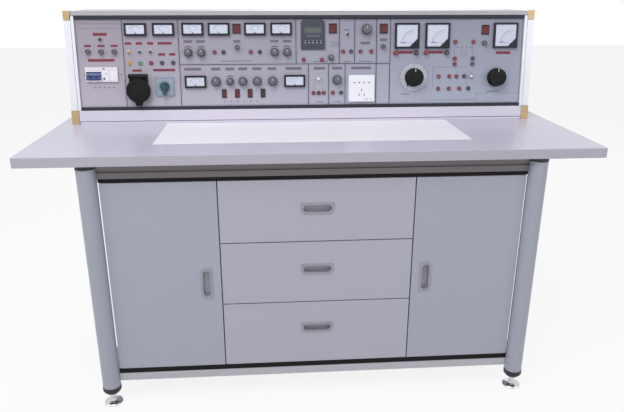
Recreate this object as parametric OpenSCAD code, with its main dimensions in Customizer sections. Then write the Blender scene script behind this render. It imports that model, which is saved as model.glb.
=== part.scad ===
// Electrical teaching bench: a desk with two cabinets and three drawers, and an instrument
// console on its tabletop. Origin on the floor under the tabletop's centre, front towards -Y.

/* [Tabletop and mat] */
// Width of the tabletop
top_w = 1600; // [1500:5:2000]
// Depth of the tabletop
top_d = 700; // [640:5:900]
// Thickness of the tabletop
top_t = 28; // [18:1:40]
// Height of the tabletop's upper face above the floor
table_h = 780; // [700:5:900]
// Radius of the tabletop's corners
top_corner_r = 6; // [2:1:20]
// Width of the white work mat
mat_w = 914; // [600:2:1200]
// Distance from the tabletop's front edge to the mat
mat_inset = 128; // [40:1:200]
// Thickness of the mat
mat_t = 1; // [0.5:0.1:3]

/* [Legs and feet] */
// Diameter of a leg tube
leg_d = 52; // [44:1:60]
// Wall of a leg tube
leg_wall = 2; // [1.5:0.5:4]
// Distance between the left and right leg axes
leg_span = 1244; // [1200:2:1300]
// Distance from the tabletop's front edge to the front leg axes
leg_inset = 34; // [32:1:60]
// Height of the black cap at the top of a leg
top_cap_h = 12; // [6:1:20]
// Height of the black cap at the foot of a leg
foot_cap_h = 22; // [16:1:30]
// Height above the floor where a leg's lower cap starts
foot_cap_z = 38; // [34:1:46]
// Depth of a cap's plug inside the leg tube
cap_plug_h = 25; // [15:1:35]
// Diameter of a levelling foot's disc
foot_d = 54; // [40:1:64]
// Thickness of a levelling foot's disc
foot_t = 8; // [5:1:12]
// Diameter of a levelling foot's stud
stud_d = 10; // [8:1:12]
// Width across the flats of a foot's nut
nut_w = 17; // [15:1:20]
// Height of a foot's nut
nut_h = 7; // [5:1:8]

/* [Frame rails] */
// Depth of a frame rail
rail_d = 30; // [24:1:36]
// Height of the grooved rails under the tabletop
top_rail_h = 43; // [36:1:60]
// Height of the bottom rails
low_rail_h = 24; // [18:1:34]
// Wall of a rail
rail_wall = 2.5; // [2:0.5:4]
// Height of the groove in a top rail's face
groove_h = 9; // [5:1:14]
// Depth of the groove in a top rail's face
groove_d = 5; // [2:1:8]
// Height of the bottom rails' underside above the floor
low_rail_z = 74; // [70:1:100]
// Height of the black filler strip over the doors
head_strip_h = 11; // [9:1:20]
// Height of the black filler strip under the doors
sill_strip_h = 16.5; // [16:0.5:24]
// How far the filler strips lie behind the door faces
strip_setback = 3; // [2:1:4]

/* [Cabinets] */
// Thickness of the carcass panels
board_t = 18; // [16:1:22]
// Thickness of the carcass floor and roof
deck_t = 16; // [12:1:16]
// Thickness of the back board
back_t = 6; // [3:1:10]
// Thickness of the doors and drawer fronts
front_t = 18; // [18:1:20]
// Gap between a leg and the edge of its door
leg_gap = 4; // [3:0.5:6]
// Gap between neighbouring fronts
front_gap = 3; // [2:0.5:4]
// Gap between a front and the filler strips
strip_gap = 1.5; // [1:0.5:3]
// Width of the drawer fronts
drawer_w = 551; // [480:1:600]
// Height of the bottom drawer's front
low_front_h = 202.5; // [180:0.5:230]
// Height of the middle drawer's front
mid_front_h = 189; // [170:0.5:210]
// Diameter of a door's pivot pins
pivot_d = 6; // [5:0.5:8]
// Length of a door's pivot pins
pivot_l = 10; // [6:1:10]
// Distance from a door's outer edge to its pivot
pivot_edge = 10; // [9:0.5:12]
// Distance from a door's face to its pivot
pivot_face = 8; // [7:0.5:9]
// Clearance round a pin or shaft
run_clear = 0.3; // [0.15:0.05:0.5]
// Hairline between pieces that are joined face to face
joint_gap = 0.2; // [0.1:0.05:0.3]
// Length of a pivot pin inside its door
pin_grip = 25; // [15:1:40]
// Height of the cabinet shelves above the carcass floor
shelf_z = 290; // [200:5:400]
// How far the shelves stop behind the carcass front
shelf_setback = 12; // [5:1:60]

/* [Drawers and slides] */
// How far a drawer's sides end below the top drawer front's upper edge
side_drop = 33; // [20:1:50]
// Depth of a drawer box
box_d = 450; // [350:5:500]
// Thickness of a drawer's sides
side_t = 12; // [9:1:15]
// Thickness of a drawer's bottom
bottom_t = 9; // [5:1:12]
// Height of a drawer box above its front's lower edge
box_lift = 20; // [15:1:30]
// Space between a drawer side and the carcass
slide_space = 13; // [12.5:0.5:15]
// Height of the slide member on the drawer
runner_h = 35; // [25:1:40]
// Thickness of the slide member on the drawer
runner_t = 5.5; // [4:0.5:6]
// Thickness of the slide's folded steel
slide_sheet = 1.5; // [1:0.5:2]
// Clearance between the slide members
slide_clear = 0.4; // [0.3:0.1:0.6]
// How far the slides' lips reach over the drawer's member
lip_reach = 4; // [3:0.5:5]

/* [Finger pulls] */
// Length of a pull's plate
pull_l = 95; // [80:1:120]
// Width of a pull's plate
pull_w = 34; // [30:1:40]
// Length of a pull's slot
slot_l = 80; // [60:1:85]
// Width of a pull's slot
slot_w = 20; // [16:1:24]
// Depth of a pull's cup behind the door face
cup_d = 13; // [10:1:14]
// Wall of a pull's cup
cup_wall = 1.5; // [1:0.5:2]
// How far a pull's plate stands out of the door face
pull_proud = 1.5; // [1:0.5:3]
// Distance from the left door's free edge to its pull's centre line
pull_edge = 41; // [30:1:80]
// Height of a door pull's centre above the door's lower edge
pull_z = 273; // [200:1:400]
// Distance from a drawer front's upper edge to its pull's centre
pull_drop = 85; // [60:1:110]

/* [Console frame] */
// Distance of the console's centre from the bench's centre line
console_x = -9; // [-30:1:30]
// Depth of the console on the tabletop
console_d = 280; // [200:5:320]
// Distance from the tabletop's back edge to the console
console_back = 7; // [0:1:40]
// Backward lean of the console's front, in degrees
lean = 6.5; // [3:0.5:10]
// Width of the console's side rails
side_rail_w = 20; // [15:1:30]
// Height of the console's top rail
crown_h = 13.5; // [12:0.5:20]
// Height of the console's bottom rail
foot_rail_h = 34; // [30:0.5:50]
// Height of the base strip under the bottom rail
base_h = 8; // [6:0.5:12]
// Height of the dark groove over the base strip
base_gap = 1.5; // [1:0.5:3]
// Depth of the console's frame rails
frame_d = 25; // [20:1:30]
// Width of the black bezel strips round the panel
bezel_w = 10; // [8:0.5:14]
// How far the bezel lies behind the frame face
bezel_setback = 2; // [1:0.5:4]
// How far the panel lies behind the frame face
panel_setback = 8; // [6:0.5:10]
// Thickness of the panel plates
plate_t = 3; // [2:0.5:4]
// Seam between panel plates
seam = 2; // [1:0.5:3]
// Width of a corner piece
corner_w = 23; // [22:1:32]
// Height of an upper corner piece
crown_corner_h = 28; // [22:1:34]
// Height of a lower corner piece
foot_corner_h = 44; // [40:1:54]
// How far the corner pieces stand proud of the frame
corner_proud = 1; // [0.5:0.5:2]
// Thickness of the console's sheet covers
sheet_t = 1.5; // [1:0.5:3]
// Height of the support bars behind the plates
bar_h = 8; // [6:1:10]

/* [Panel modules] */
// Height of all the panel plates together
panel_h = 272; // [268:1:300]
// Height of the lower row of modules
low_row_h = 131.5; // [129:0.5:136]
// Width of the mains module
mains_w = 144; // [140:1:180]
// Width of the supply module
supply_w = 173; // [170:1:200]
// Width of the twin power supply module
twin_w = 372; // [370:1:420]
// Width of the counter module
counter_w = 140; // [137:1:170]
// Width of the pulse module
pulse_w = 50; // [48:1:70]
// Width of the timer module
timer_w = 71; // [69:1:90]
// Width of the fuse module and of the blank plate under it
fuse_w = 45; // [41:1:60]
// Width of the lamp module
lamp_w = 66; // [62:1:80]
// Width of the source module
source_w = 54; // [51:1:70]
// Width of the outlet module
outlet_w = 102; // [102:1:120]
// Width of the motor drive module
drive_w = 440; // [428:1:500]

/* [Meters] */
// Width of a small meter's bezel
meter_w = 68; // [60:1:74]
// Height of a small meter's bezel
meter_h = 39; // [36:1:44]
// Width of a large meter's bezel
big_meter_w = 80; // [72:1:90]
// How far a meter's bezel stands out of its plate
meter_proud = 8; // [6:0.5:12]
// Width of a meter bezel's rim
rim = 6; // [4:0.5:8]
// Depth of a meter's window pocket
pocket_d = 5; // [4:0.5:6]
// Thickness of a meter's window
glass_t = 1.5; // [1:0.5:2]
// Size of the cut corner of a large meter's window
window_cut = 25; // [15:1:34]
// Depth of a meter's case behind the plate
case_d = 24; // [15:1:40]
// How much narrower a case is than its bezel, all round
case_inset = 5; // [3:0.5:8]

/* [Switches and breaker] */
// Width of a power switch's bezel
power_w = 26; // [22:1:30]
// Height of a power switch's bezel
power_h = 31; // [28:1:36]
// Width of a signal switch's bezel
signal_w = 15.5; // [14:0.5:20]
// Height of a signal switch's bezel
signal_h = 28; // [24:1:32]
// Width of a switch bezel's rim
switch_rim = 2.5; // [2:0.5:3]
// How far a switch's bezel stands out of its plate
switch_proud = 2.5; // [1.5:0.5:4]
// Half of a rocker's swing, in degrees
rocker_tilt = 8; // [4:1:10]
// Diameter of a rocker's pivot pins
rocker_pin_d = 2.4; // [2:0.2:3]
// Width of the circuit breaker
breaker_w = 100; // [90:1:104]
// Height of the circuit breaker's nose
breaker_h = 45; // [42:1:48]
// How far the breaker's nose stands out of its plate
breaker_proud = 6; // [4:0.5:7]
// Height of the breaker's body behind the plate
breaker_body_h = 82; // [70:1:90]
// Depth of the breaker's body behind the plate
breaker_body_d = 46; // [30:1:60]
// Distance between the breaker's toggles
toggle_pitch = 17.5; // [16:0.5:18]
// Width of one breaker toggle
toggle_w = 10; // [6:1:12]
// Radius of the breaker's toggle barrel
barrel_r = 11; // [10:0.5:12]
// Reach of the toggle levers from their axis
lever_reach = 19; // [16:1:22]
// Thickness of a toggle lever
lever_t = 6; // [4:0.5:7]
// Half of the toggles' swing, in degrees
toggle_swing = 38; // [30:1:40]

/* [Knobs] */
// Radius of a supply module knob
supply_knob_r = 13.5; // [10:0.5:16]
// Radius of a generator module knob
generator_knob_r = 15.5; // [12:0.5:18]
// Radius of the generator module's second knob
fine_knob_r = 12.5; // [10:0.5:16]
// Radius of the counter knob
counter_knob_r = 9.5; // [7:0.5:12]
// Radius of the pulse timer knob
timer_knob_r = 17; // [12:0.5:20]
// Height of a small knob
knob_h = 15; // [10:1:20]
// Radius of the transformer and speed knobs
drive_knob_r = 30; // [24:1:34]
// Height of the transformer and speed knobs
drive_knob_h = 24; // [18:1:30]
// Radius of the transformer knob's scale plate
scale_r = 46; // [38:1:50]
// Diameter of a control's shaft
shaft_d = 6; // [4:0.5:8]
// Diameter of a control's threaded bush
bush_d = 9; // [8.5:0.5:12]
// Diameter of a control's body behind the plate
pot_d = 22; // [16:1:24]
// Depth of a control's body behind the plate
pot_h = 14; // [10:1:20]
// Thickness of a control's nut in front of the plate
pot_nut_h = 2; // [1.5:0.5:3]
// Gap between a knob and the nut under it
knob_gap = 0.6; // [0.4:0.1:1]

/* [Sockets and small fittings] */
// Diameter of the test plug's bore in a socket
plug_d = 4; // [4:0.1:5]
// Depth of the test plug's bore
plug_depth = 18; // [12:1:24]
// Radius of a small socket's flange
socket_r = 6.5; // [6:0.5:8]
// Radius of a large socket's flange
post_r = 8; // [7:0.5:10]
// How far a small socket stands out of its plate
socket_proud = 5; // [3:0.5:8]
// How far a large socket stands out of its plate
post_proud = 11; // [6:0.5:16]
// Radius of a fuse holder's cap
fuse_r = 8.5; // [7:0.5:10]
// Height of a fuse holder's cap
fuse_h = 11; // [8:1:15]
// Radius of a signal lamp
lamp_r = 6; // [5:0.5:7]
// Radius of the push button
button_r = 5; // [4:0.5:6]
// Travel of the push button
button_travel = 3; // [1:0.5:4]
// Radius of the breaker's test button
test_r = 3; // [2:0.5:4]
// Travel of the breaker's test button
test_travel = 1.2; // [0.5:0.1:1.5]
// Width and height of the mains outlet's plate
outlet_size = 86; // [80:1:90]
// Thickness of the mains outlet's plate
outlet_t = 8; // [6:1:10]
// Width of the frequency counter
display_w = 77; // [70:1:80]
// Height of the frequency counter
display_h = 93; // [80:1:95]
// How far the frequency counter stands out of its plate
display_proud = 4; // [3:0.5:8]
// Width and height of the mode switch's plate
mode_size = 60; // [50:1:64]
// Thickness of the mode switch's plate
mode_t = 5; // [3:0.5:8]
// Radius of the mode switch's handle
mode_knob_r = 15; // [12:1:18]
// Height of the mode switch's handle
mode_knob_h = 22; // [16:1:30]

/* [Industrial socket] */
// Outer radius of the socket's collar
collar_r = 34; // [30:1:36]
// Inner radius of the socket's collar
recess_r = 28; // [24:1:29]
// How far the collar stands out of the plate
collar_proud = 16; // [12:1:20]
// Depth of the recess
recess_d = 26; // [20:1:30]
// Radius of the flap lid
lid_r = 38; // [36:1:38]
// Thickness of the flap lid
lid_t = 7; // [5:0.5:9]
// Width of the hinge block
hinge_w = 57; // [50:1:60]
// Distance from the socket's centre up to the hinge pin
hinge_y = 45; // [45:0.5:47]
// Radius of the hinge knuckles
knuckle_r = 5; // [4:0.5:5]
// Diameter of the hinge pin
hinge_pin_d = 4; // [3:0.5:5]
// Reach of the lid's finger tab from the socket's centre
tab_reach = 48; // [44:1:50]

/* [Hidden] */
$fn = 48;
tiny = 0.01;
far = 3000;

// Heights and places of the desk
under_top = table_h - top_t;
leg_r = leg_d / 2;
cap_r = leg_r + 1;
cope_r = leg_r + joint_gap;
leg_x = leg_span / 2;
leg_y = top_d / 2 - leg_inset;
face_y = -leg_y;
rail_end = leg_x - rail_d / 2 - joint_gap;
top_rail_z = under_top - top_rail_h;
strip_y = face_y + strip_setback;
carcass_y = face_y + front_t + 7;
carcass_back = leg_y - rail_d + 2;
deck_z = low_rail_z + low_rail_h;
carcass_w = leg_span - leg_d - 2 * leg_gap;
front_z = deck_z + sill_strip_h + strip_gap;
front_top = top_rail_z - head_strip_h - strip_gap;
door_outer = leg_x - leg_r - leg_gap;
door_inner = drawer_w / 2 + front_gap;
pivot_x = door_outer - pivot_edge;
pivot_y = face_y + pivot_face;
divider_x = drawer_w / 2 + front_gap / 2;
bay_half = divider_x - board_t / 2;
box_half = bay_half - slide_space;
high_front_h = front_top - front_z - low_front_h - mid_front_h - 2 * front_gap;
side_h = high_front_h - box_lift - side_drop;
low_drawer_z = front_z;
mid_drawer_z = low_drawer_z + low_front_h + front_gap;
high_drawer_z = mid_drawer_z + mid_front_h + front_gap;
inner_floor = deck_z + deck_t;
inner_roof = top_rail_z - deck_t;

// Layout of the console's front, measured up its slope
panels_w = mains_w + supply_w + twin_w + counter_w + pulse_w + timer_w + fuse_w + drive_w;
frame_half = panels_w / 2 + bezel_w + side_rail_w;
foot_rail_z = base_h + base_gap;
panel_z = foot_rail_z + foot_rail_h + bezel_w;
crown_z = panel_z + panel_h + bezel_w;
slope_h = crown_z + crown_h;
console_y = top_d / 2 - console_back - console_d;
console_back_y = console_y + console_d;
shell_top = table_h + slope_h * cos(lean) - frame_d * sin(lean);
module_lower = panel_z;
module_upper = panel_z + low_row_h;

// Left edges of the panel modules
mains_x = -panels_w / 2;
supply_x = mains_x + mains_w;
twin_x = supply_x + supply_w;
counter_x = twin_x + twin_w;
pulse_x = counter_x + counter_w;
timer_x = pulse_x + pulse_w;
fuse_x = timer_x + timer_w;
drive_x = fuse_x + fuse_w;
outlet_x = fuse_x - outlet_w;
source_x = outlet_x - source_w;
lamp_x = source_x - lamp_w;

// Places on the panel: across from a module's left edge, up from its lower edge
small_meters = [
    [supply_x + 41.5, module_lower + 240], [supply_x + 128, module_lower + 240],
    [twin_x + 46, module_upper + 109], [twin_x + 128, module_upper + 109],
    [twin_x + 242, module_upper + 109], [twin_x + 325, module_upper + 109],
    [twin_x + 48, module_lower + 78], [twin_x + 366, module_lower + 78]
];
big_meters = [for (x = [54, 154, 380]) [drive_x + x, module_lower + 218]];
power_switches = [
    [twin_x + 184, module_upper + 110], [counter_x + 119, module_upper + 110],
    [fuse_x + fuse_w / 2, module_upper + 109], [drive_x + 313, module_lower + 236]
];
signal_switches = [for (x = [138, 180, 221, 263]) [twin_x + x, module_lower + 40]];
supply_knobs = [for (x = [29, 70, 303, 343]) [twin_x + x, module_upper + 37.5]];
generator_knobs = [for (x = [113, 158, 199, 245, 295]) [twin_x + x, module_lower + 78]];
generator_radii = [
    generator_knob_r, fine_knob_r, generator_knob_r - 1, generator_knob_r - 1, generator_knob_r
];
counter_knob_at = [counter_x + 113, module_upper + 19];
timer_knob_at = [timer_x + 38, module_upper + 107];
source_knob_at = [source_x + source_w / 2 + 1, module_lower + 80];
transformer_at = [drive_x + 80, module_lower + 86];
speed_at = [drive_x + 356, module_lower + 84];
mode_at = [supply_x + 123, module_lower + 64];
button_at = [mains_x + 74.5, module_lower + 210];
breaker_at = [mains_x + mains_w / 2, module_lower + 103];
test_shift = [8, -12.5];
test_at = breaker_at + test_shift;
socket_at = [supply_x + 42, module_lower + 52];
outlet_at = [outlet_x + outlet_w / 2 + 3, module_lower + 52];
display_at = [counter_x + 54.5, module_upper + 91];
fuses = [
    [mains_x + 34.5, module_lower + 173], [mains_x + 75, module_lower + 173],
    [mains_x + 115.5, module_lower + 173], [twin_x + 184, module_upper + 53],
    [fuse_x + fuse_w / 2, module_upper + 53], [drive_x + 313, module_lower + 194]
];
lamps = [
    [supply_x + 16, module_lower + 172.5, "gold"], [supply_x + 50, module_lower + 172.5, "darkgreen"],
    [supply_x + 84, module_lower + 172.5, "darkred"], [lamp_x + lamp_w / 2, module_lower + 83, "white"],
    [pulse_x + 26, module_upper + 92.5, "black"], [drive_x + 273, module_lower + 88, "white"]
];
small_sockets = [
    [twin_x + 112, module_upper + 38.5, "crimson"], [twin_x + 140, module_upper + 38.5, "black"],
    [twin_x + 227, module_upper + 38.5, "crimson"], [twin_x + 256, module_upper + 38.5, "black"],
    [counter_x + 24, module_upper + 13.5, "crimson"], [counter_x + 83, module_upper + 13.5, "crimson"],
    [pulse_x + 12, module_upper + 38.5, "crimson"], [pulse_x + 38, module_upper + 38.5, "navy"],
    [timer_x + 19, module_upper + 38.5, "crimson"], [timer_x + 54, module_upper + 38.5, "crimson"],
    [lamp_x + 16, module_lower + 39, "crimson"], [lamp_x + 33, module_lower + 39, "black"],
    [lamp_x + 50, module_lower + 39, "crimson"],
    [source_x + 14, module_lower + 39, "darkred"], [source_x + 41, module_lower + 39, "black"],
    [drive_x + 215, module_lower + 198.5, "crimson"], [drive_x + 275, module_lower + 198.5, "crimson"],
    [drive_x + 215, module_lower + 145.5, "crimson"], [drive_x + 275, module_lower + 145.5, "navy"],
    [drive_x + 215, module_lower + 128, "crimson"], [drive_x + 275, module_lower + 128, "navy"],
    [drive_x + 163, module_lower + 88.5, "darkred"], [drive_x + 199, module_lower + 88.5, "crimson"],
    [drive_x + 223, module_lower + 88.5, "crimson"], [drive_x + 249, module_lower + 88.5, "black"],
    [drive_x + 163, module_lower + 49, "crimson"], [drive_x + 199, module_lower + 49, "crimson"],
    [drive_x + 234, module_lower + 49, "crimson"], [drive_x + 265, module_lower + 49, "black"],
    [supply_x + 16, module_lower + 138, "gold"], [supply_x + 50, module_lower + 138, "seagreen"],
    [supply_x + 84, module_lower + 138, "crimson"], [supply_x + 118, module_lower + 138, "navy"],
    [supply_x + 153, module_lower + 138, "black"]
];
posts = [
    [drive_x + 18, module_lower + 165, "crimson"], [drive_x + 85, module_lower + 165, "black"],
    [drive_x + 118, module_lower + 165, "crimson"], [drive_x + 186, module_lower + 165, "black"]
];
toggle_shift = [-24.5, -3];
barrel_z = -3;
ear_w = 14;
lid_clear = 0.4;
lid_axis_z = collar_proud + lid_clear + lid_t - 1;
knob_grey = [0.44, 0.45, 0.48];
pots = concat(supply_knobs, generator_knobs, [counter_knob_at, timer_knob_at, source_knob_at]);
plates = [
    [mains_x, module_lower, mains_w, panel_h], [supply_x, module_lower, supply_w, panel_h],
    [twin_x, module_upper, twin_w, panel_h - low_row_h],
    [counter_x, module_upper, counter_w, panel_h - low_row_h],
    [pulse_x, module_upper, pulse_w, panel_h - low_row_h],
    [timer_x, module_upper, timer_w, panel_h - low_row_h],
    [fuse_x, module_upper, fuse_w, panel_h - low_row_h],
    [twin_x, module_lower, lamp_x - twin_x, low_row_h], [lamp_x, module_lower, lamp_w, low_row_h],
    [source_x, module_lower, source_w, low_row_h], [outlet_x, module_lower, outlet_w, low_row_h],
    [fuse_x, module_lower, fuse_w, low_row_h], [drive_x, module_lower, drive_w, panel_h]
];

// Shapes used by several pieces
module rounded(w, h, r) {
    square([w - 2 * r, h], center = true);
    square([w, h - 2 * r], center = true);
    for (x = [-1, 1], y = [-1, 1]) translate([x * (w / 2 - r), y * (h / 2 - r)]) circle(r);
}
module racetrack(l, w) {
    square([l - w, w], center = true);
    for (x = [-1, 1]) translate([x * (l - w) / 2, 0]) circle(w / 2);
}
module slab(x0, x1, y0, y1, z0, z1) {
    translate([x0, y0, z0]) cube([x1 - x0, y1 - y0, z1 - z0]);
}
module pair() {
    children();
    mirror([1, 0, 0]) children();
}
module four_legs() {
    for (x = [-1, 1], y = [-1, 1]) translate([x * leg_x, y * leg_y, 0]) children();
}
// The console's own frame: Y into the console, Z up the slope of its front
module leaned() {
    translate([console_x, console_y, table_h]) rotate([-lean, 0, 0]) children();
}
// A place on the panel: X across, Y up the slope, Z out of the plate's face
module on_panel(place, out = 0) {
    leaned() translate([place[0], panel_setback - out, place[1]]) rotate([90, 0, 0]) children();
}

module tabletop() {
    color([0.76, 0.75, 0.82]) translate([0, 0, under_top])
        linear_extrude(top_t) rounded(top_w, top_d, top_corner_r);
}
module work_mat() {
    mat_y = mat_inset - top_d / 2;
    color("white") slab(-mat_w / 2, mat_w / 2, mat_y, console_y - 1, table_h, table_h + mat_t);
}
module leg_posts() {
    color([0.62, 0.64, 0.68]) four_legs() translate([0, 0, foot_cap_z + foot_cap_h])
        linear_extrude(under_top - top_cap_h - foot_cap_z - foot_cap_h) difference() {
            circle(leg_r, $fn = 64);
            circle(leg_r - leg_wall, $fn = 64);
        }
}
module leg_end_caps() {
    bore_r = stud_d / 2 + run_clear;
    plug_r = leg_r - leg_wall;
    cap_z = foot_cap_z + foot_cap_h;
    color([0.07, 0.07, 0.08]) four_legs() {
        rotate_extrude($fn = 64) polygon([
            [bore_r, foot_cap_z], [leg_r - 6, foot_cap_z], [leg_r - 1, foot_cap_z + 6],
            [cap_r, foot_cap_z + 9], [cap_r, cap_z], [plug_r, cap_z],
            [plug_r, cap_z + cap_plug_h], [bore_r, cap_z + cap_plug_h]
        ]);
        rotate_extrude($fn = 64) polygon([
            [0, under_top], [cap_r, under_top], [cap_r, under_top - top_cap_h],
            [plug_r, under_top - top_cap_h], [plug_r, under_top - top_cap_h - cap_plug_h],
            [0, under_top - top_cap_h - cap_plug_h]
        ]);
    }
}
// A levelling foot: disc, swivel neck, lock nut and threaded stud
module levelling_foot(x, y) {
    stud_top = foot_cap_z + foot_cap_h + cap_plug_h - 5;
    nut_z = foot_cap_z - nut_h - 6;
    color([0.8, 0.8, 0.82]) translate([x * leg_x, y * leg_y, 0]) {
        rotate_extrude($fn = 64) polygon([
            [0, 0], [foot_d / 2 - 1, 0], [foot_d / 2, 1], [foot_d / 2, foot_t - 4],
            [foot_d / 2 - 2, foot_t - 2], [stud_d, foot_t + 1], [stud_d - 2, foot_t + 7],
            [stud_d / 2, foot_t + 7], [stud_d / 2, stud_top - 1], [stud_d / 2 - 1, stud_top],
            [0, stud_top]
        ]);
        translate([0, 0, nut_z]) linear_extrude(nut_h) difference() {
            circle(nut_w / 2 / cos(30), $fn = 6);
            circle(stud_d / 2);
        }
    }
}
module rail_section(h, grooved) {
    mid = h / 2;
    difference() {
        square([rail_d, h]);
        translate([groove_d + rail_wall, rail_wall])
            square([rail_d - groove_d - 2 * rail_wall, h - 2 * rail_wall]);
        if (grooved) translate([-tiny, mid - groove_h / 2]) square([groove_d, groove_h]);
    }
}
// What is cut from a rail's ends so that they fit round the leg tubes and their top caps
module cope() {
    for (x = [-1, 1], y = [-1, 1]) translate([x * leg_x, y * leg_y, 0]) {
        cylinder(r = cope_r, h = table_h);
        translate([0, 0, under_top - top_cap_h - joint_gap]) cylinder(r = cap_r + joint_gap, h = table_h);
    }
}
// A rail along X whose ends are coped to the leg tubes, its face towards -Y
module long_rail(z, h, grooved) {
    difference() {
        translate([-rail_end, face_y, z]) rotate([90, 0, 90])
            linear_extrude(2 * rail_end) rail_section(h, grooved);
        cope();
    }
}
module side_rail(z, h) {
    difference() {
        translate([leg_x - rail_d / 2, -leg_y + leg_r / 2, z]) cube([rail_d, 2 * leg_y - leg_r, h]);
        translate([leg_x - rail_d / 2 + rail_wall, -leg_y, z + rail_wall])
            cube([rail_d - 2 * rail_wall, 2 * leg_y, h - 2 * rail_wall]);
        cope();
    }
}
// A black filler strip with the pivot bores of both doors
module filler_strip(z, h) {
    strip_end = leg_x - leg_r - 1;
    difference() {
        slab(-strip_end, strip_end, strip_y, carcass_y - joint_gap, z, z + h);
        for (x = [-1, 1]) translate([x * pivot_x, pivot_y, z - 1])
            cylinder(d = pivot_d + 2 * run_clear, h = h + 2);
    }
}
module frame_rails() {
    color([0.72, 0.71, 0.74]) {
        for (a = [0, 180]) rotate([0, 0, a]) {
            long_rail(top_rail_z, top_rail_h, true);
            long_rail(low_rail_z, low_rail_h, false);
        }
        pair() {
            side_rail(top_rail_z, top_rail_h);
            side_rail(low_rail_z, low_rail_h);
            slab(divider_x - rail_d / 2, divider_x + rail_d / 2, face_y + rail_d + joint_gap,
                leg_y - rail_d - joint_gap, low_rail_z, deck_z);
        }
    }
    color([0.12, 0.11, 0.13]) {
        filler_strip(deck_z + joint_gap, sill_strip_h - joint_gap);
        filler_strip(top_rail_z - head_strip_h, head_strip_h - joint_gap);
    }
}
module carcass_panels() {
    half = carcass_w / 2;
    low = inner_floor + joint_gap;
    high = inner_roof - joint_gap;
    back = carcass_back - joint_gap;
    color([0.70, 0.69, 0.74]) {
        slab(-half, half, carcass_y, back, deck_z, inner_floor);
        slab(-half, half, carcass_y, back, inner_roof, top_rail_z);
        slab(-half, half, carcass_back, carcass_back + back_t, deck_z, top_rail_z);
        pair() {
            slab(half - board_t, half, carcass_y, back, low, high);
            slab(bay_half, bay_half + board_t, carcass_y, back, low, high);
            slab(bay_half + board_t + joint_gap, half - board_t - joint_gap,
                carcass_y + shelf_setback, back, inner_floor + shelf_z,
                inner_floor + shelf_z + deck_t);
        }
    }
}
module pull_plate() {
    chamfer = 9;
    polygon([
        [-pull_l / 2, pull_w / 2], [pull_l / 2, pull_w / 2], [pull_l / 2, chamfer - pull_w / 2],
        [pull_l / 2 - chamfer, -pull_w / 2], [chamfer - pull_l / 2, -pull_w / 2],
        [-pull_l / 2, chamfer - pull_w / 2]
    ]);
}
// A recessed finger pull, its plate's back face at Z = 0 and its cup below
module finger_pull() {
    color([0.66, 0.66, 0.70]) difference() {
        union() {
            translate([0, 0, joint_gap]) linear_extrude(pull_proud - joint_gap) pull_plate();
            translate([0, 0, -cup_d])
                linear_extrude(cup_d + pull_proud / 2) racetrack(slot_l + 2 * cup_wall, slot_w + 2 * cup_wall);
        }
        translate([0, 0, cup_wall - cup_d]) linear_extrude(far) racetrack(slot_l, slot_w);
    }
}
module pull_pocket() {
    margin = cup_wall + run_clear;
    translate([0, 0, -cup_d - run_clear])
        linear_extrude(cup_d + run_clear + 1) racetrack(slot_l + 2 * margin, slot_w + 2 * margin);
}
module on_front(x, z, turn = 0) {
    translate([x, face_y, z]) rotate([90, turn, 0]) children();
}
// A door leaf with its pull and its pivot pins; side is -1 for the left door
module door(side, turn) {
    pull_x = side * (door_inner + pull_edge);
    leaf = [side < 0 ? -door_outer : door_inner, side < 0 ? -door_inner : door_outer];
    color([0.66, 0.66, 0.72]) difference() {
        slab(leaf[0], leaf[1], face_y, face_y + front_t, front_z, front_top);
        on_front(pull_x, front_z + pull_z, turn) pull_pocket();
        for (z = [front_z - pin_grip - joint_gap, front_top - pin_grip - joint_gap])
            translate([side * pivot_x, pivot_y, z])
                cylinder(d = pivot_d + 2 * joint_gap, h = 2 * pin_grip + 2 * joint_gap);
    }
    on_front(pull_x, front_z + pull_z, turn) finger_pull();
    color("silver") translate([side * pivot_x, pivot_y, 0]) {
        translate([0, 0, front_z - pivot_l]) cylinder(d = pivot_d, h = pivot_l + pin_grip);
        translate([0, 0, front_top - pin_grip]) cylinder(d = pivot_d, h = pivot_l + pin_grip);
    }
}
module drawer_front(z, h) {
    color([0.68, 0.67, 0.73]) difference() {
        slab(-drawer_w / 2, drawer_w / 2, face_y, face_y + front_t, z, z + h);
        on_front(0, z + h - pull_drop) pull_pocket();
    }
    on_front(0, z + h - pull_drop) finger_pull();
}
// A drawer's tray with the slide members on its sides
module drawer_box(z) {
    y0 = face_y + front_t + joint_gap;
    y1 = y0 + box_d;
    low = z + box_lift;
    high = low + side_h;
    mid = (low + high) / 2;
    inner = box_half - side_t - joint_gap;
    deck = low + bottom_t + joint_gap;
    color([0.80, 0.79, 0.82]) {
        slab(-inner, inner, y0, y0 + side_t, deck, high);
        slab(-inner, inner, y1 - side_t, y1, deck, high);
        slab(-inner, inner, y0, y1, low, low + bottom_t);
        pair() slab(box_half - side_t, box_half, y0, y1, low, high);
    }
    color("silver") pair()
        slab(box_half + joint_gap, box_half + runner_t, y0 + 4, y1, mid - runner_h / 2,
            mid + runner_h / 2);
}
// The carcass member of a slide: a web on the divider and two lips round the drawer's member
module slide_member(z) {
    y0 = carcass_y;
    y1 = face_y + front_t + box_d;
    web = bay_half - slide_sheet;
    mid = z + box_lift + side_h / 2;
    lip_x = box_half + runner_t - lip_reach;
    reach = runner_h / 2 + slide_clear;
    pair() {
        slab(web, bay_half, y0, y1, mid - reach - slide_sheet, mid + reach + slide_sheet);
        for (s = [-1, 1]) translate([0, 0, mid + s * (reach + slide_sheet / 2)])
            slab(lip_x, web - joint_gap, y0, y1, -slide_sheet / 2, slide_sheet / 2);
    }
}
module drawer_slides() {
    color("silver") for (z = [low_drawer_z, mid_drawer_z, high_drawer_z]) slide_member(z);
}

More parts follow.
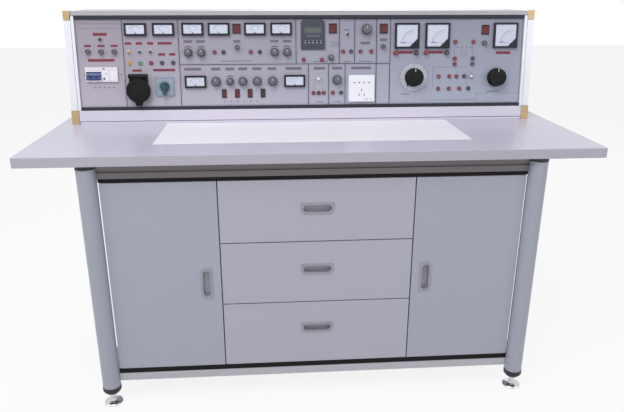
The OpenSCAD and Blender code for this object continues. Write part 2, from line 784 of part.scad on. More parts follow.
module above_table() {
    difference() {
        children();
        translate([-far / 2, -far / 2, table_h - far]) cube([far, far, far]);
    }
}
module console_frame() {
    half = frame_half;
    inner = half - corner_w - joint_gap;
    opening = panels_w / 2;
    bar_end = opening + bezel_w - joint_gap;
    grip = panel_setback + plate_t;
    color([0.76, 0.76, 0.79]) above_table() leaned() {
        slab(-inner, inner, bezel_setback, frame_d, 0, base_h);
        slab(-inner, inner, 0, frame_d, foot_rail_z, foot_rail_z + foot_rail_h);
        slab(-inner, inner, 0, frame_d, crown_z, slope_h);
        pair() slab(half - side_rail_w, half, 0, frame_d, foot_corner_h + joint_gap,
            slope_h - crown_corner_h - joint_gap);
        for (bar = [
            [-bar_end, bar_end, panel_z + bar_h / 2], [twin_x, drive_x, module_upper],
            [-bar_end, bar_end, panel_z + panel_h - bar_h / 2]
        ])
            slab(bar[0], bar[1], grip + joint_gap, grip + joint_gap + sheet_t, bar[2] - bar_h / 2,
                bar[2] + bar_h / 2);
    }
    color([0.10, 0.10, 0.13]) leaned() {
        for (z = [panel_z - bezel_w, panel_z + panel_h])
            slab(joint_gap - opening, opening - joint_gap, bezel_setback, grip, z + joint_gap,
                z + bezel_w - joint_gap);
        pair() slab(opening, opening + bezel_w - joint_gap, bezel_setback, grip,
            panel_z - bezel_w + joint_gap, crown_z - joint_gap);
    }
}
// The gilt corner pieces that join the console's rails
module console_corners() {
    half = frame_half + corner_proud;
    web = frame_half - corner_w;
    inner = frame_half - side_rail_w;
    color([0.80, 0.66, 0.38]) above_table() leaned() pair() {
        slab(inner, half, -corner_proud, frame_d, 0, foot_corner_h);
        slab(web, inner, -corner_proud, frame_d, 0, foot_rail_z + foot_rail_h);
        slab(inner, half, -corner_proud, frame_d, slope_h - crown_corner_h, slope_h + corner_proud);
        slab(web, inner, -corner_proud, frame_d, crown_z, slope_h + corner_proud);
    }
}
// Sheet covers: two sides, a roof, a base and a back with ventilation slots
module console_shell() {
    half = frame_half - sheet_t;
    inner = half - joint_gap;
    front_low = console_y + frame_d / cos(lean);
    front_high = front_low + (shell_top - table_h) * tan(lean);
    slots = 9;
    slot_gap = 14;
    color([0.70, 0.70, 0.73]) translate([console_x, 0, 0]) {
        for (x = [-half - sheet_t, half]) translate([x, 0, 0]) rotate([90, 0, 90])
            linear_extrude(sheet_t) polygon([
                [front_low, table_h], [console_back_y, table_h], [console_back_y, shell_top],
                [front_high, shell_top]
            ]);
        slab(-inner, inner, front_high, console_back_y, shell_top - sheet_t, shell_top);
        slab(-inner, inner, front_low + sheet_t, console_back_y, table_h, table_h + sheet_t);
        difference() {
            slab(-inner, inner, console_back_y - sheet_t, console_back_y,
                table_h + sheet_t + joint_gap, shell_top - sheet_t - joint_gap);
            for (x = [-0.6, 0, 0.6], i = [0:slots - 1])
                translate([x * half, console_back_y, (table_h + shell_top) / 2 + (i - 4) * slot_gap])
                    rotate([90, 0, 0]) translate([0, 0, -sheet_t])
                        linear_extrude(3 * sheet_t) racetrack(120, 5);
        }
    }
}
module case_outline(w, h, clear = 0) {
    shrink = 2 * (case_inset - clear);
    square([w - shrink, h - shrink], center = true);
}
module cutouts() {
    for (m = small_meters) translate(m) case_outline(meter_w, meter_h, run_clear);
    for (m = big_meters) translate(m) case_outline(big_meter_w, big_meter_w, run_clear);
    for (s = power_switches) translate(s) switch_hole(power_w, power_h);
    for (s = signal_switches) translate(s) switch_hole(signal_w, signal_h);
    for (p = pots) translate(p) circle(d = bush_d + run_clear);
    for (p = [transformer_at, speed_at, mode_at]) translate(p) circle(d = bush_d + run_clear);
    for (s = small_sockets) translate([s[0], s[1]]) circle(socket_r - 2 + run_clear);
    for (s = posts) translate([s[0], s[1]]) circle(post_r - 2 + run_clear);
    for (f = fuses) translate(f) circle(fuse_r - 2 + run_clear);
    for (l = lamps) translate([l[0], l[1]]) circle(lamp_r - 2 + run_clear);
    translate(button_at) circle(button_r + 1 + run_clear);
    translate(breaker_at) square([breaker_w + 2 * run_clear, breaker_h + 2 * run_clear], center = true);
    translate(socket_at) circle(recess_r + 2 + run_clear);
    translate(outlet_at) square(outlet_size - 30 + 2 * run_clear, center = true);
    translate(display_at) square([display_w - 12 + 2 * run_clear, display_h - 12 + 2 * run_clear],
        center = true);
}
module switch_hole(w, h) {
    square([w - 2 + 2 * run_clear, h - 2 + 2 * run_clear], center = true);
}
module instrument_panels() {
    color([0.72, 0.70, 0.74]) on_panel([0, 0], -plate_t) linear_extrude(plate_t) difference() {
        for (p = plates) translate([p[0] + seam / 2, p[1] + seam / 2])
            square([p[2] - seam, p[3] - seam]);
        cutouts();
    }
}
module big_window() {
    w = big_meter_w / 2 - rim;
    polygon([[-w, -w], [w - window_cut, -w], [w, window_cut - w], [w, w], [-w, w]]);
}
module small_window() {
    square([meter_w - 2 * rim, meter_h - 2 * rim], center = true);
}
module meter_case(w, h) {
    difference() {
        union() {
            linear_extrude(meter_proud) square([w, h], center = true);
            translate([0, 0, -case_d]) linear_extrude(case_d + tiny) case_outline(w, h);
        }
        translate([0, 0, meter_proud - pocket_d]) linear_extrude(pocket_d + 1) children();
    }
}
// A needle with its hub, lying on the dial at the bottom of the pocket
module needle(length, drop, turn) {
    translate([0, -drop, meter_proud - pocket_d]) {
        cylinder(r = 2.2, h = 1.8);
        rotate([0, 0, turn]) translate([-0.4, 0, 0]) cube([0.8, length, 0.8]);
    }
}
module meter_cases() {
    for (m = small_meters) on_panel(m) {
        color([0.10, 0.10, 0.12]) meter_case(meter_w, meter_h) small_window();
        color("black") needle(meter_h - 2 * rim - 7, meter_h / 2 - rim - 4, 42);
    }
    for (m = big_meters) on_panel(m) {
        color([0.10, 0.10, 0.12]) meter_case(big_meter_w, big_meter_w) big_window();
        color("black") needle(big_meter_w / 2, big_meter_w / 2 - rim - 16, 45);
    }
}
module meter_windows() {
    glass_z = meter_proud - glass_t - 0.5;
    color([0.8, 0.85, 0.9, 0.35]) {
        for (m = small_meters) on_panel(m, glass_z) linear_extrude(glass_t) small_window();
        for (m = big_meters) on_panel(m, glass_z) linear_extrude(glass_t) big_window();
    }
}
// A test socket: flanged sleeve with a blind plug bore
module socket(r, proud) {
    bore = plug_d / 2;
    stem = r - 2;
    base = proud - plug_depth;
    rotate_extrude() polygon([
        [0, base - 3], [stem, base - 3], [stem, 0], [r, 0], [r, proud - 1.5], [r - 1.5, proud],
        [bore + 0.6, proud], [bore, proud - 0.6], [bore, base], [0, base]
    ]);
}
module terminals() {
    for (s = small_sockets) color(s[2]) on_panel(s) socket(socket_r, socket_proud);
    for (s = posts) color(s[2]) on_panel(s) socket(post_r, post_proud);
}
// A switch housing: rim on the plate, box behind it, and bores for the rocker's pins
module switch_housing(w, h) {
    depth = 14;
    hole_w = w - 2 * switch_rim;
    hole_h = h - 2 * switch_rim;
    difference() {
        union() {
            linear_extrude(switch_proud) square([w, h], center = true);
            translate([0, 0, -depth]) linear_extrude(depth + tiny) square([w - 2, h - 2], center = true);
        }
        translate([0, 0, 1.5 - depth]) linear_extrude(far) square([hole_w, hole_h], center = true);
        translate([0, 0, -1]) rotate([0, 90, 0])
            cylinder(d = rocker_pin_d + run_clear, h = w - 2 * switch_rim + 2, center = true);
    }
}
module switch_housings() {
    color([0.12, 0.10, 0.11]) {
        for (s = power_switches) on_panel(s) switch_housing(power_w, power_h);
        for (s = signal_switches) on_panel(s) switch_housing(signal_w, signal_h);
    }
}
// A rocker that swings on two pins, drawn at the end of its swing
module rocker(w, h) {
    half_l = h / 2 - switch_rim - run_clear;
    half_w = w / 2 - switch_rim - run_clear;
    dip = 3.6;
    lift = 5.2;
    translate([0, 0, -1]) rotate([rocker_tilt, 0, 0]) {
        rotate([90, 0, 90]) translate([0, 0, -half_w]) linear_extrude(2 * half_w) intersection() {
            circle(half_l);
            polygon([
                [-half_l, -3], [0, -8], [half_l, -3], [half_l, lift], [0, dip], [-half_l, lift]
            ]);
        }
        rotate([0, 90, 0]) cylinder(d = rocker_pin_d, h = 2 * half_w + 2 * run_clear + 1.4, center = true);
    }
}
module power_rocker(i) { color([0.62, 0.13, 0.17]) on_panel(power_switches[i]) rocker(power_w, power_h); }
module signal_rocker(i) {
    color(i < 3 ? [0.45, 0.10, 0.18] : [0.08, 0.08, 0.12])
        on_panel(signal_switches[i]) rocker(signal_w, signal_h);
}
module breaker_body() {
    window = barrel_r + 0.5;
    bank = 2 * toggle_pitch + toggle_w + 2;
    color("white") on_panel(breaker_at) difference() {
        union() {
            translate([0, 0, -plate_t - tiny]) linear_extrude(breaker_proud + plate_t + tiny)
                square([breaker_w, breaker_h], center = true);
            translate([0, 0, -breaker_body_d]) linear_extrude(breaker_body_d - plate_t - 0.2)
                square([breaker_w, breaker_body_h], center = true);
            translate([0, 0, -plate_t - 1]) linear_extrude(2)
                square([breaker_w, breaker_h], center = true);
        }
        translate([toggle_shift[0], toggle_shift[1], barrel_z]) {
            rotate([0, 90, 0]) cylinder(r = window, h = bank, center = true);
            translate([-bank / 2, -window, 4]) cube([bank, 2 * window, far]);
            rotate([0, 90, 0]) cylinder(d = rocker_pin_d + 2 * run_clear, h = bank + 8, center = true);
        }
        translate([test_shift[0], test_shift[1], -2]) cylinder(r = test_r + run_clear, h = far);
    }
}
// Three levers on one barrel, tied together, drawn down in the off position
module breaker_toggle() {
    bank = 2 * toggle_pitch + toggle_w;
    color([0.16, 0.22, 0.42]) on_panel(breaker_at)
        translate([toggle_shift[0], toggle_shift[1], barrel_z]) rotate([toggle_swing, 0, 0]) {
            rotate([0, 90, 0]) cylinder(r = barrel_r, h = bank, center = true);
            rotate([0, 90, 0]) cylinder(d = rocker_pin_d, h = bank + 6, center = true);
            for (i = [-1, 0, 1]) translate([i * toggle_pitch - toggle_w / 2, -lever_t / 2, 0])
                cube([toggle_w, lever_t, lever_reach]);
            translate([-bank / 2, -lever_t / 2, lever_reach - 4]) cube([bank, lever_t, 4]);
        }
}
module breaker_test_button() {
    color([0.85, 0.85, 0.85]) on_panel(test_at)
        cylinder(r = test_r, h = breaker_proud + test_travel + 0.3);
}
module push_button() {
    color([0.10, 0.10, 0.10]) on_panel(button_at) translate([0, 0, -6])
        rotate_extrude() polygon([
            [0, 0], [button_r - run_clear, 0], [button_r - run_clear, 11], [button_r - 1.3, 12], [0, 12]
        ]);
}
// The front of the industrial socket: collar, contact floor and the hinge block over it
module industrial_socket() {
    floor_z = collar_proud - recess_d;
    color([0.09, 0.09, 0.10]) on_panel(socket_at) {
        difference() {
            union() {
                cylinder(r = collar_r, h = collar_proud, $fn = 64);
                translate([0, 0, floor_z - 4]) cylinder(r = recess_r + 2, h = 4 - floor_z + tiny, $fn = 64);
                translate([-hinge_w / 2, 0, 0]) cube([hinge_w, hinge_y + 7, collar_proud - 0.5]);
                for (x = [-hinge_w / 2, hinge_w / 2 - ear_w]) translate([x, hinge_y - knuckle_r, 0])
                    cube([ear_w, 2 * knuckle_r, lid_axis_z]);
                for (x = [-hinge_w / 2, hinge_w / 2 - ear_w]) translate([x, hinge_y, lid_axis_z])
                    rotate([0, 90, 0]) cylinder(r = knuckle_r, h = ear_w);
            }
            translate([0, 0, floor_z]) cylinder(r = recess_r, h = far, $fn = 64);
            translate([ear_w - hinge_w / 2, hinge_y - knuckle_r - 1, collar_proud - 2])
                cube([hinge_w - 2 * ear_w, 2 * knuckle_r + far, far]);
            translate([0, hinge_y, lid_axis_z]) rotate([0, 90, 0])
                cylinder(d = hinge_pin_d + 2 * run_clear, h = hinge_w - 4, center = true);
            for (a = [0:90:359]) rotate([0, 0, a + 45]) translate([14, 0, floor_z - 3])
                cylinder(r = 3, h = 4);
        }
    }
}
// The flap lid: domed disc, finger tab, knuckle and hinge pin
module outlet_lid() {
    low = collar_proud + lid_clear;
    neck_w = hinge_w - 2 * ear_w - 1;
    color([0.06, 0.06, 0.07]) on_panel(socket_at) {
        rotate_extrude($fn = 64) polygon([
            [0, low], [lid_r - 1, low], [lid_r, low + 1], [lid_r, low + lid_t - 3],
            [lid_r - 2, low + lid_t - 1.2], [lid_r - 12, low + lid_t], [0, low + lid_t]
        ]);
        translate([0, 0, low]) linear_extrude(lid_t - 2) difference() {
            polygon([
                [-14, -lid_r + 6], [14, -lid_r + 6], [9, -tab_reach], [-9, -tab_reach]
            ]);
            circle(lid_r - 4, $fn = 64);
        }
        difference() {
            union() {
                translate([-neck_w / 2, lid_r - 12, low]) cube([neck_w, hinge_y - lid_r + 12, lid_t - 1]);
                translate([-neck_w / 2, hinge_y, lid_axis_z]) rotate([0, 90, 0])
                    cylinder(r = knuckle_r, h = neck_w);
            }
            translate([0, hinge_y, low - knuckle_r]) translate([-neck_w, -knuckle_r, 0])
                cube([2 * neck_w, 3 * knuckle_r, knuckle_r]);
        }
        translate([0, hinge_y, lid_axis_z]) rotate([0, 90, 0])
            cylinder(d = hinge_pin_d, h = hinge_w - 6, center = true);
    }
}
module mains_outlet() {
    hole_d = 4.6;
    color("white") on_panel(outlet_at) difference() {
        union() {
            linear_extrude(outlet_t - 2) rounded(outlet_size, outlet_size, 5);
            translate([0, 0, outlet_t - 2 - tiny])
                linear_extrude(2 + tiny) rounded(outlet_size - 4, outlet_size - 4, 4);
            translate([0, 0, -28]) linear_extrude(28 + tiny) square(outlet_size - 30, center = true);
        }
        for (x = [-24, -8, 8, 24]) translate([x, 19, outlet_t - 7]) cylinder(d = hole_d, h = 8);
        translate([-1.2, -9, outlet_t - 7]) cube([2.4, 7, 8]);
        for (s = [-1, 1]) translate([s * 8, -20, outlet_t - 7]) rotate([0, 0, s * 30])
            translate([-1.2, -3.5, 0]) cube([2.4, 7, 8]);
    }
}
module display_outline(inset) {
    w = display_w / 2 - inset;
    h = display_h / 2 - inset;
    cut = 9;
    polygon([[-w, -h], [w, -h], [w, h - cut], [w - cut, h], [cut - w, h], [-w, h - cut]]);
}
module frequency_counter() {
    color([0.22, 0.24, 0.27]) on_panel(display_at) difference() {
        union() {
            linear_extrude(display_proud) display_outline(0);
            translate([0, 0, -30]) linear_extrude(30 + tiny)
                square([display_w - 12, display_h - 12], center = true);
        }
        translate([0, 14, display_proud - 1]) linear_extrude(2) square([56, 22], center = true);
        for (i = [-2:2]) translate([i * 12.5, -25, display_proud - 1.5]) cylinder(d = 4.2, h = 2);
    }
}
// A rotary control: body behind the plate, bush through it, hexagon nut in front
module pot() {
    color([0.45, 0.45, 0.48]) difference() {
        union() {
            translate([0, 0, -plate_t - pot_h]) cylinder(d = pot_d, h = pot_h);
            translate([0, 0, -plate_t - tiny]) cylinder(d = bush_d, h = plate_t + pot_nut_h);
            cylinder(d = bush_d + 4, h = pot_nut_h, $fn = 6);
        }
        translate([0, 0, 4 - plate_t - pot_h]) cylinder(d = shaft_d + 2 * run_clear, h = far);
    }
}
module control_bodies() {
    for (p = pots) on_panel(p) pot();
    on_panel(speed_at) pot();
    on_panel(transformer_at) difference() {
        union() {
            color([0.82, 0.82, 0.84]) cylinder(r = scale_r, h = 1, $fn = 64);
            color([0.5, 0.4, 0.3]) translate([0, 0, -plate_t - 60]) cylinder(r = 45, h = 60, $fn = 64);
            cylinder(d = bush_d + 6, h = pot_nut_h);
            translate([0, 0, -plate_t - tiny]) cylinder(d = bush_d, h = plate_t + 1);
        }
        translate([0, 0, 4 - plate_t - pot_h]) cylinder(d = shaft_d + 2 * run_clear, h = far);
    }
    on_panel(mode_at) difference() {
        union() {
            color([0.62, 0.68, 0.70]) linear_extrude(mode_t) rounded(mode_size, mode_size, 6);
            color([0.15, 0.15, 0.16]) translate([0, 0, -plate_t - 42])
                linear_extrude(42) square(mode_size - 14, center = true);
            translate([0, 0, -plate_t - tiny]) cylinder(d = bush_d, h = plate_t + 1);
        }
        translate([0, 0, 4 - plate_t - pot_h]) cylinder(d = shaft_d + 2 * run_clear, h = far);
    }
    color([0.3, 0.3, 0.32]) on_panel(button_at) difference() {
        union() {
            cylinder(r = button_r + 2.5, h = 2);
            translate([0, 0, -14]) cylinder(r = button_r + 1, h = 14 + tiny);
        }
        translate([0, 0, -12]) cylinder(r = button_r, h = far);
    }
}
// A knob over its nut: skirt, fluted grip, pointer rib and shaft; seat is where the nut ends
module knob(r, h, seat, flutes, flute_r, pointer) {
    z0 = seat + knob_gap;
    difference() {
        rotate_extrude($fn = 64) polygon([
            [0, z0], [r, z0], [r, z0 + 2], [r - 1.5, z0 + 3], [r - 2.2, z0 + h - 1.5],
            [r - 3.7, z0 + h], [0, z0 + h]
        ]);
        for (i = [0:flutes - 1]) rotate([0, 0, (i + 0.5) * 360 / flutes])
            translate([r - 2.8 + flute_r, 0, z0 + 4]) cylinder(r = flute_r, h = h);
    }
    rotate([0, 0, pointer]) translate([-0.8, r * 0.25, z0 + h - 1]) cube([1.6, r * 0.6, 1.6]);
    translate([0, 0, 6 - plate_t - pot_h]) cylinder(d = shaft_d, h = z0 + plate_t + pot_h - 5);
}
module small_knob(place, r) {
    color(knob_grey) on_panel(place) knob(r, knob_h, pot_nut_h, 10, 2.2, 0);
}
module transformer_knob() {
    color([0.07, 0.07, 0.08]) on_panel(transformer_at) {
        knob(drive_knob_r, drive_knob_h, pot_nut_h, 20, 2.6, 140);
        rotate([0, 0, 140]) translate([-3, drive_knob_r - 4, pot_nut_h + knob_gap])
            linear_extrude(2) polygon([[-2, 0], [8, 0], [3, 11]]);
    }
}
module speed_knob() {
    color([0.07, 0.07, 0.08]) on_panel(speed_at) knob(drive_knob_r, drive_knob_h, pot_nut_h, 9, 5.5, 150);
}
module mode_switch_handle() {
    z0 = mode_t + knob_gap;
    color([0.10, 0.25, 0.32]) on_panel(mode_at) {
        translate([0, 0, z0]) cylinder(r = mode_knob_r, h = 6);
        translate([0, 0, z0 + 6 - tiny]) cylinder(r1 = mode_knob_r - 1, r2 = mode_knob_r - 4, h = 5);
        translate([-4.5, -mode_knob_r - 12, z0]) cube([9, 2 * mode_knob_r + 8, mode_knob_h - 4]);
        translate([0, 0, 6 - plate_t - pot_h]) cylinder(d = shaft_d, h = z0 + plate_t + pot_h - 5);
    }
}
module fuse_holder() {
    color([0.14, 0.14, 0.15]) difference() {
        rotate_extrude() polygon([
            [0, -24], [fuse_r - 2, -24], [fuse_r - 2, 0], [fuse_r, 0], [fuse_r, 2], [fuse_r - 1, 3],
            [fuse_r - 1.5, fuse_h - 1], [fuse_r - 2.5, fuse_h], [0, fuse_h]
        ]);
        translate([-fuse_r, -0.8, fuse_h - 2]) cube([2 * fuse_r, 1.6, 3]);
    }
}
module lamp(tint) {
    color(tint) rotate_extrude() polygon([
        [0, -18], [lamp_r - 2, -18], [lamp_r - 2, 0], [lamp_r, 0], [lamp_r, 2], [lamp_r - 1, 2.5],
        [lamp_r - 1.3, 5], [lamp_r - 3, 6.5], [0, 7]
    ]);
}
module fuses_and_lamps() {
    for (f = fuses) on_panel(f) fuse_holder();
    for (l = lamps) on_panel(l) lamp(l[2]);
}

tabletop();
work_mat();
leg_posts();
leg_end_caps();
frame_rails();
carcass_panels();
drawer_slides();
console_frame();
console_corners();
console_shell();
instrument_panels();
meter_cases();
meter_windows();
terminals();
switch_housings();
breaker_body();
industrial_socket();
mains_outlet();
frequency_counter();
control_bodies();
fuses_and_lamps();
door(-1, 90);  // left_door
door(1, -90);  // right_door
drawer_front(high_drawer_z, high_front_h);  // top_drawer_front
drawer_front(mid_drawer_z, mid_front_h);  // middle_drawer_front
drawer_front(low_drawer_z, low_front_h);  // bottom_drawer_front
drawer_box(high_drawer_z);  // top_drawer_box
drawer_box(mid_drawer_z);  // middle_drawer_box
drawer_box(low_drawer_z);  // bottom_drawer_box
for (i = [0:3]) small_knob(supply_knobs[i], supply_knob_r);
for (i = [0:4]) small_knob(generator_knobs[i], generator_radii[i]);
small_knob(counter_knob_at, counter_knob_r);  // counter_knob
small_knob(timer_knob_at, timer_knob_r);  // timer_knob
small_knob(source_knob_at, generator_knob_r);  // source_knob
transformer_knob();
speed_knob();
mode_switch_handle();
for (i = [0:3]) power_rocker(i);
for (i = [0:3]) signal_rocker(i);
breaker_toggle();
breaker_test_button();
push_button();
outlet_lid();
levelling_foot(-1, -1);  // foot_front_left
levelling_foot(1, -1);  // foot_front_right
levelling_foot(-1, 1);  // foot_rear_left
levelling_foot(1, 1);  // foot_rear_right
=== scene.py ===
import math

import bpy
from mathutils import Matrix, Vector


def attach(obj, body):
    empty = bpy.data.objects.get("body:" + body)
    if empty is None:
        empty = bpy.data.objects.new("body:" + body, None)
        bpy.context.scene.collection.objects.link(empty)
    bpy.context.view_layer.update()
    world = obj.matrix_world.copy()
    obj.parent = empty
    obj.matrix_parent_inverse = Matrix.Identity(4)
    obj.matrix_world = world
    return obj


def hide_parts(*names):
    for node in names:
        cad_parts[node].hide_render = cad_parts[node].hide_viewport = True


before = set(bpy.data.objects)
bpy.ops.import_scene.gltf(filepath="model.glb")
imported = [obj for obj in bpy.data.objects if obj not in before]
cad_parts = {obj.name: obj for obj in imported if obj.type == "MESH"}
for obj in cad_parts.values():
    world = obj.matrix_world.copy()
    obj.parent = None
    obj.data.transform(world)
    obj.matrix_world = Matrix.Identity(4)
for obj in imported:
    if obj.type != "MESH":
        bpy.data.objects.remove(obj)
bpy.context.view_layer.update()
mm = 0.001


# The room: a pale floor that keeps the bench's shadow, three soft lamps and a pale sky.
# The camera stands where the photographer stood, a little left of the middle and above
# the tabletop, and looks down at the bench.
def tint(red, green, blue):
    """A colour given as it looks, 0 to 255, turned into the light it reflects."""
    channels = []
    for value in (red, green, blue):
        part = value / 255
        channels.append(part / 12.92 if part < 0.04045 else ((part + 0.055) / 1.055) ** 2.4)
    return (*channels, 1.0)


def wire(tree, kind, feeds=(), **settings):
    """Adds a shader node; feeds gives each input its value or the socket that drives it."""
    made = tree.nodes.new("ShaderNode" + kind)
    for name, value in settings.items():
        setattr(made, name, value)
    for name, value in dict(feeds).items():
        if isinstance(value, bpy.types.NodeSocket):
            tree.links.new(value, made.inputs[name])
        else:
            made.inputs[name].default_value = value
    return made


def lamp(name, place, aim, size, power):
    """A round soft lamp that faces a point; its size is in metres and its power in watts."""
    bpy.ops.object.light_add(type="AREA", location=place)
    made = bpy.context.object
    made.name = name
    made.data.shape = "DISK"
    made.data.size = size
    made.data.energy = power
    made.rotation_euler = (Vector(aim) - Vector(place)).to_track_quat("-Z", "Y").to_euler()


camera_place = (-0.13505, -1.93754, 1.19090)
camera_yaw, camera_pitch, camera_roll = 4.206, 19.374, 0.075
focal_pixels, photo_width, film_width = 616.52, 624, 36
bpy.ops.object.camera_add(location=camera_place)
camera = bpy.context.object
camera.data.sensor_width = film_width
camera.data.lens = film_width * focal_pixels / photo_width
camera.rotation_euler = (
    Matrix.Rotation(math.radians(-camera_yaw), 4, "Z")
    @ Matrix.Rotation(math.radians(90 - camera_pitch), 4, "X")
    @ Matrix.Rotation(math.radians(camera_roll), 4, "Z")
).to_euler()
bpy.context.scene.camera = camera
bpy.context.scene.view_settings.view_transform = "Standard"

lamp("ceiling_lamp", (-0.9, -1.9, 3.5), (0, 0, 0.6), 2.4, 74)
lamp("window_lamp", (-3.2, -1.8, 2.0), (0, 0, 0.6), 2.0, 19)
lamp("wall_lamp", (3.0, -2.4, 2.0), (0, 0, 0.5), 2.2, 26)
lamp("rear_lamp", (0.6, 3.2, 2.6), (0, 0, 0.8), 2.6, 40)

def met_by(tree, *kinds):
    """Is 1 for rays of the given kinds and 0 for all others."""
    path = wire(tree, "LightPath")
    mask = path.outputs["Is %s Ray" % kinds[0]]
    for kind in kinds[1:]:
        either = wire(tree, "Math", {0: mask, 1: path.outputs["Is %s Ray" % kind]}, operation="MAXIMUM")
        mask = either.outputs[0]
    return mask


sky = bpy.data.worlds.new("sky")
sky.use_nodes = True
bpy.context.scene.world = sky
tree = sky.node_tree
tree.nodes.clear()
seen = met_by(tree, "Camera", "Glossy", "Transmission")
day = wire(tree, "Background", {"Color": (0.93, 0.95, 1.0, 1), "Strength": 0.42})
white = wire(tree, "Background", {"Color": (1, 1, 1, 1), "Strength": 1.0})
both = wire(tree, "MixShader", {0: seen, 1: day.outputs[0], 2: white.outputs[0]})
wire(tree, "OutputWorld", {"Surface": both.outputs[0]})

floor_size, floor_veil = 24, 0.86
bpy.ops.mesh.primitive_plane_add(size=floor_size)
floor = bpy.context.object
floor.name = "floor"
paving = bpy.data.materials.new("pale_floor")
paving.use_nodes = True
tree = paving.node_tree
tree.nodes.clear()
veil = wire(tree, "Math", {0: met_by(tree, "Camera", "Glossy"), 1: floor_veil}, operation="MULTIPLY")
matt = wire(tree, "BsdfDiffuse", {"Color": (0.86, 0.86, 0.87, 1)})
glow = wire(tree, "Emission", {"Color": (1, 1, 1, 1), "Strength": 1.0})
both = wire(tree, "MixShader", {0: veil.outputs[0], 1: matt.outputs[0], 2: glow.outputs[0]})
wire(tree, "OutputMaterial", {"Surface": both.outputs[0]})
floor.data.materials.append(paving)


# The four leg tubes: welded steel, 52 mm across, sprayed blue-grey. Each stands on its
# foot cap and carries the tabletop, and the rails are screwed to it.
def effect(name, inputs, outputs):
    """A node group with named sockets; gives the group, its inputs and where results go."""
    group = bpy.data.node_groups.new(name, "ShaderNodeTree")
    for label, (kind, value) in inputs.items():
        socket = group.interface.new_socket(label, in_out="INPUT", socket_type="NodeSocket" + kind)
        socket.default_value = value
    for label, kind in outputs.items():
        group.interface.new_socket(label, in_out="OUTPUT", socket_type="NodeSocket" + kind)
    return group, group.nodes.new("NodeGroupInput").outputs, group.nodes.new("NodeGroupOutput").inputs


# Colour that drifts a little from place to place, and gloss that changes with handling
drift_group, given, result = effect(
    "tone_drift",
    {"Colour": ("Color", (0.5, 0.5, 0.5, 1)), "Drift": ("Float", 0.05), "Patches": ("Float", 4.0),
     "Roughness": ("Float", 0.5), "Smudge": ("Float", 0.05)},
    {"Colour": "Color", "Roughness": "Float"},
)
coords = wire(drift_group, "TexCoord").outputs["Object"]
clouds = wire(drift_group, "TexNoise", {"Vector": coords, "Scale": given["Patches"], "Detail": 5.0})
centred = wire(drift_group, "Math", {0: clouds.outputs["Fac"], 1: 0.5}, operation="SUBTRACT")
swing = wire(drift_group, "Math", {0: centred.outputs[0], 1: given["Drift"], 2: 1.0},
             operation="MULTIPLY_ADD")
shade = wire(drift_group, "VectorMath", {0: given["Colour"], "Scale": swing.outputs[0]}, operation="SCALE")
drift_group.links.new(shade.outputs[0], result["Colour"])
finer = wire(drift_group, "Math", {0: given["Patches"], 1: 5.0}, operation="MULTIPLY")
marks = wire(drift_group, "TexNoise", {"Vector": coords, "Scale": finer.outputs[0], "Detail": 6.0,
                                       "Roughness": 0.6})
centred = wire(drift_group, "Math", {0: marks.outputs["Fac"], 1: 0.5}, operation="SUBTRACT")
gloss = wire(drift_group, "Math", {0: centred.outputs[0], 1: given["Smudge"], 2: given["Roughness"]},
             operation="MULTIPLY_ADD")
drift_group.links.new(gloss.outputs[0], result["Roughness"])

# A fine pebbled skin, as sprayed paint and moulded plastic have
skin_group, given, result = effect(
    "pebbled_skin", {"Pitch": ("Float", 900.0), "Stretch": ("Vector", (1, 1, 1))}, {"Height": "Float"}
)
coords = wire(skin_group, "TexCoord").outputs["Object"]
spread = wire(skin_group, "VectorMath", {0: coords, 1: given["Stretch"]}, operation="MULTIPLY")
pebbles = wire(skin_group, "TexNoise", {"Vector": spread.outputs[0], "Scale": given["Pitch"], "Detail": 2.0})
skin_group.links.new(pebbles.outputs["Fac"], result["Height"])


def finish(name, colour, roughness, drift=0.08, patches=4.0, smudge=0.1, pitch=900.0,
           stretch=(1, 1, 1), depth=0.02, metallic=0.0, coat=0.0, **constants):
    """A surface with drifting tone, handled gloss and a fine skin; depth is in millimetres."""
    made = bpy.data.materials.new(name)
    made.use_nodes = True
    tree = made.node_tree
    shader = tree.nodes["Principled BSDF"]
    tone = wire(tree, "Group", node_tree=drift_group)
    for label, value in {"Colour": colour, "Drift": drift, "Patches": patches,
                         "Roughness": roughness, "Smudge": smudge}.items():
        tone.inputs[label].default_value = value
    tree.links.new(tone.outputs["Colour"], shader.inputs["Base Color"])
    tree.links.new(tone.outputs["Roughness"], shader.inputs["Roughness"])
    skin = wire(tree, "Group", node_tree=skin_group)
    skin.inputs["Pitch"].default_value = pitch
    skin.inputs["Stretch"].default_value = stretch
    bump = wire(tree, "Bump", {"Height": skin.outputs["Height"], "Strength": 0.6, "Distance": depth * mm})
    tree.links.new(bump.outputs[0], shader.inputs["Normal"])
    shader.inputs["Metallic"].default_value = metallic
    shader.inputs["Coat Weight"].default_value = coat
    for label, value in constants.items():
        shader.inputs[label.replace("_", " ")].default_value = value
    return made


def dress(node, material):
    """Gives a CAD node that keeps its own shape its finish."""
    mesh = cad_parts[node].data
    mesh.materials.clear()
    mesh.materials.append(material)


leg_paint = finish("leg_paint", tint(155, 158, 170), 0.42, pitch=700, depth=0.03, coat=0.15)
dress("leg_posts", leg_paint)


# The caps on both ends of each leg: black injection-moulded plugs pressed into the tube.
black_plastic = finish("black_plastic", tint(30, 30, 33), 0.5, drift=0.25, patches=20, pitch=1500)
dress("leg_end_caps", black_plastic)


# The levelling feet: turned and chromed steel discs on threaded studs, screwed up into
# the foot caps with a lock nut each.
foot_chrome = finish("foot_chrome", tint(205, 206, 210), 0.22, metallic=1.0, smudge=0.2, patches=25,
                     pitch=1800)
for corner in ("front_left", "front_right", "rear_left", "rear_right"):
    dress("foot_" + corner, foot_chrome)


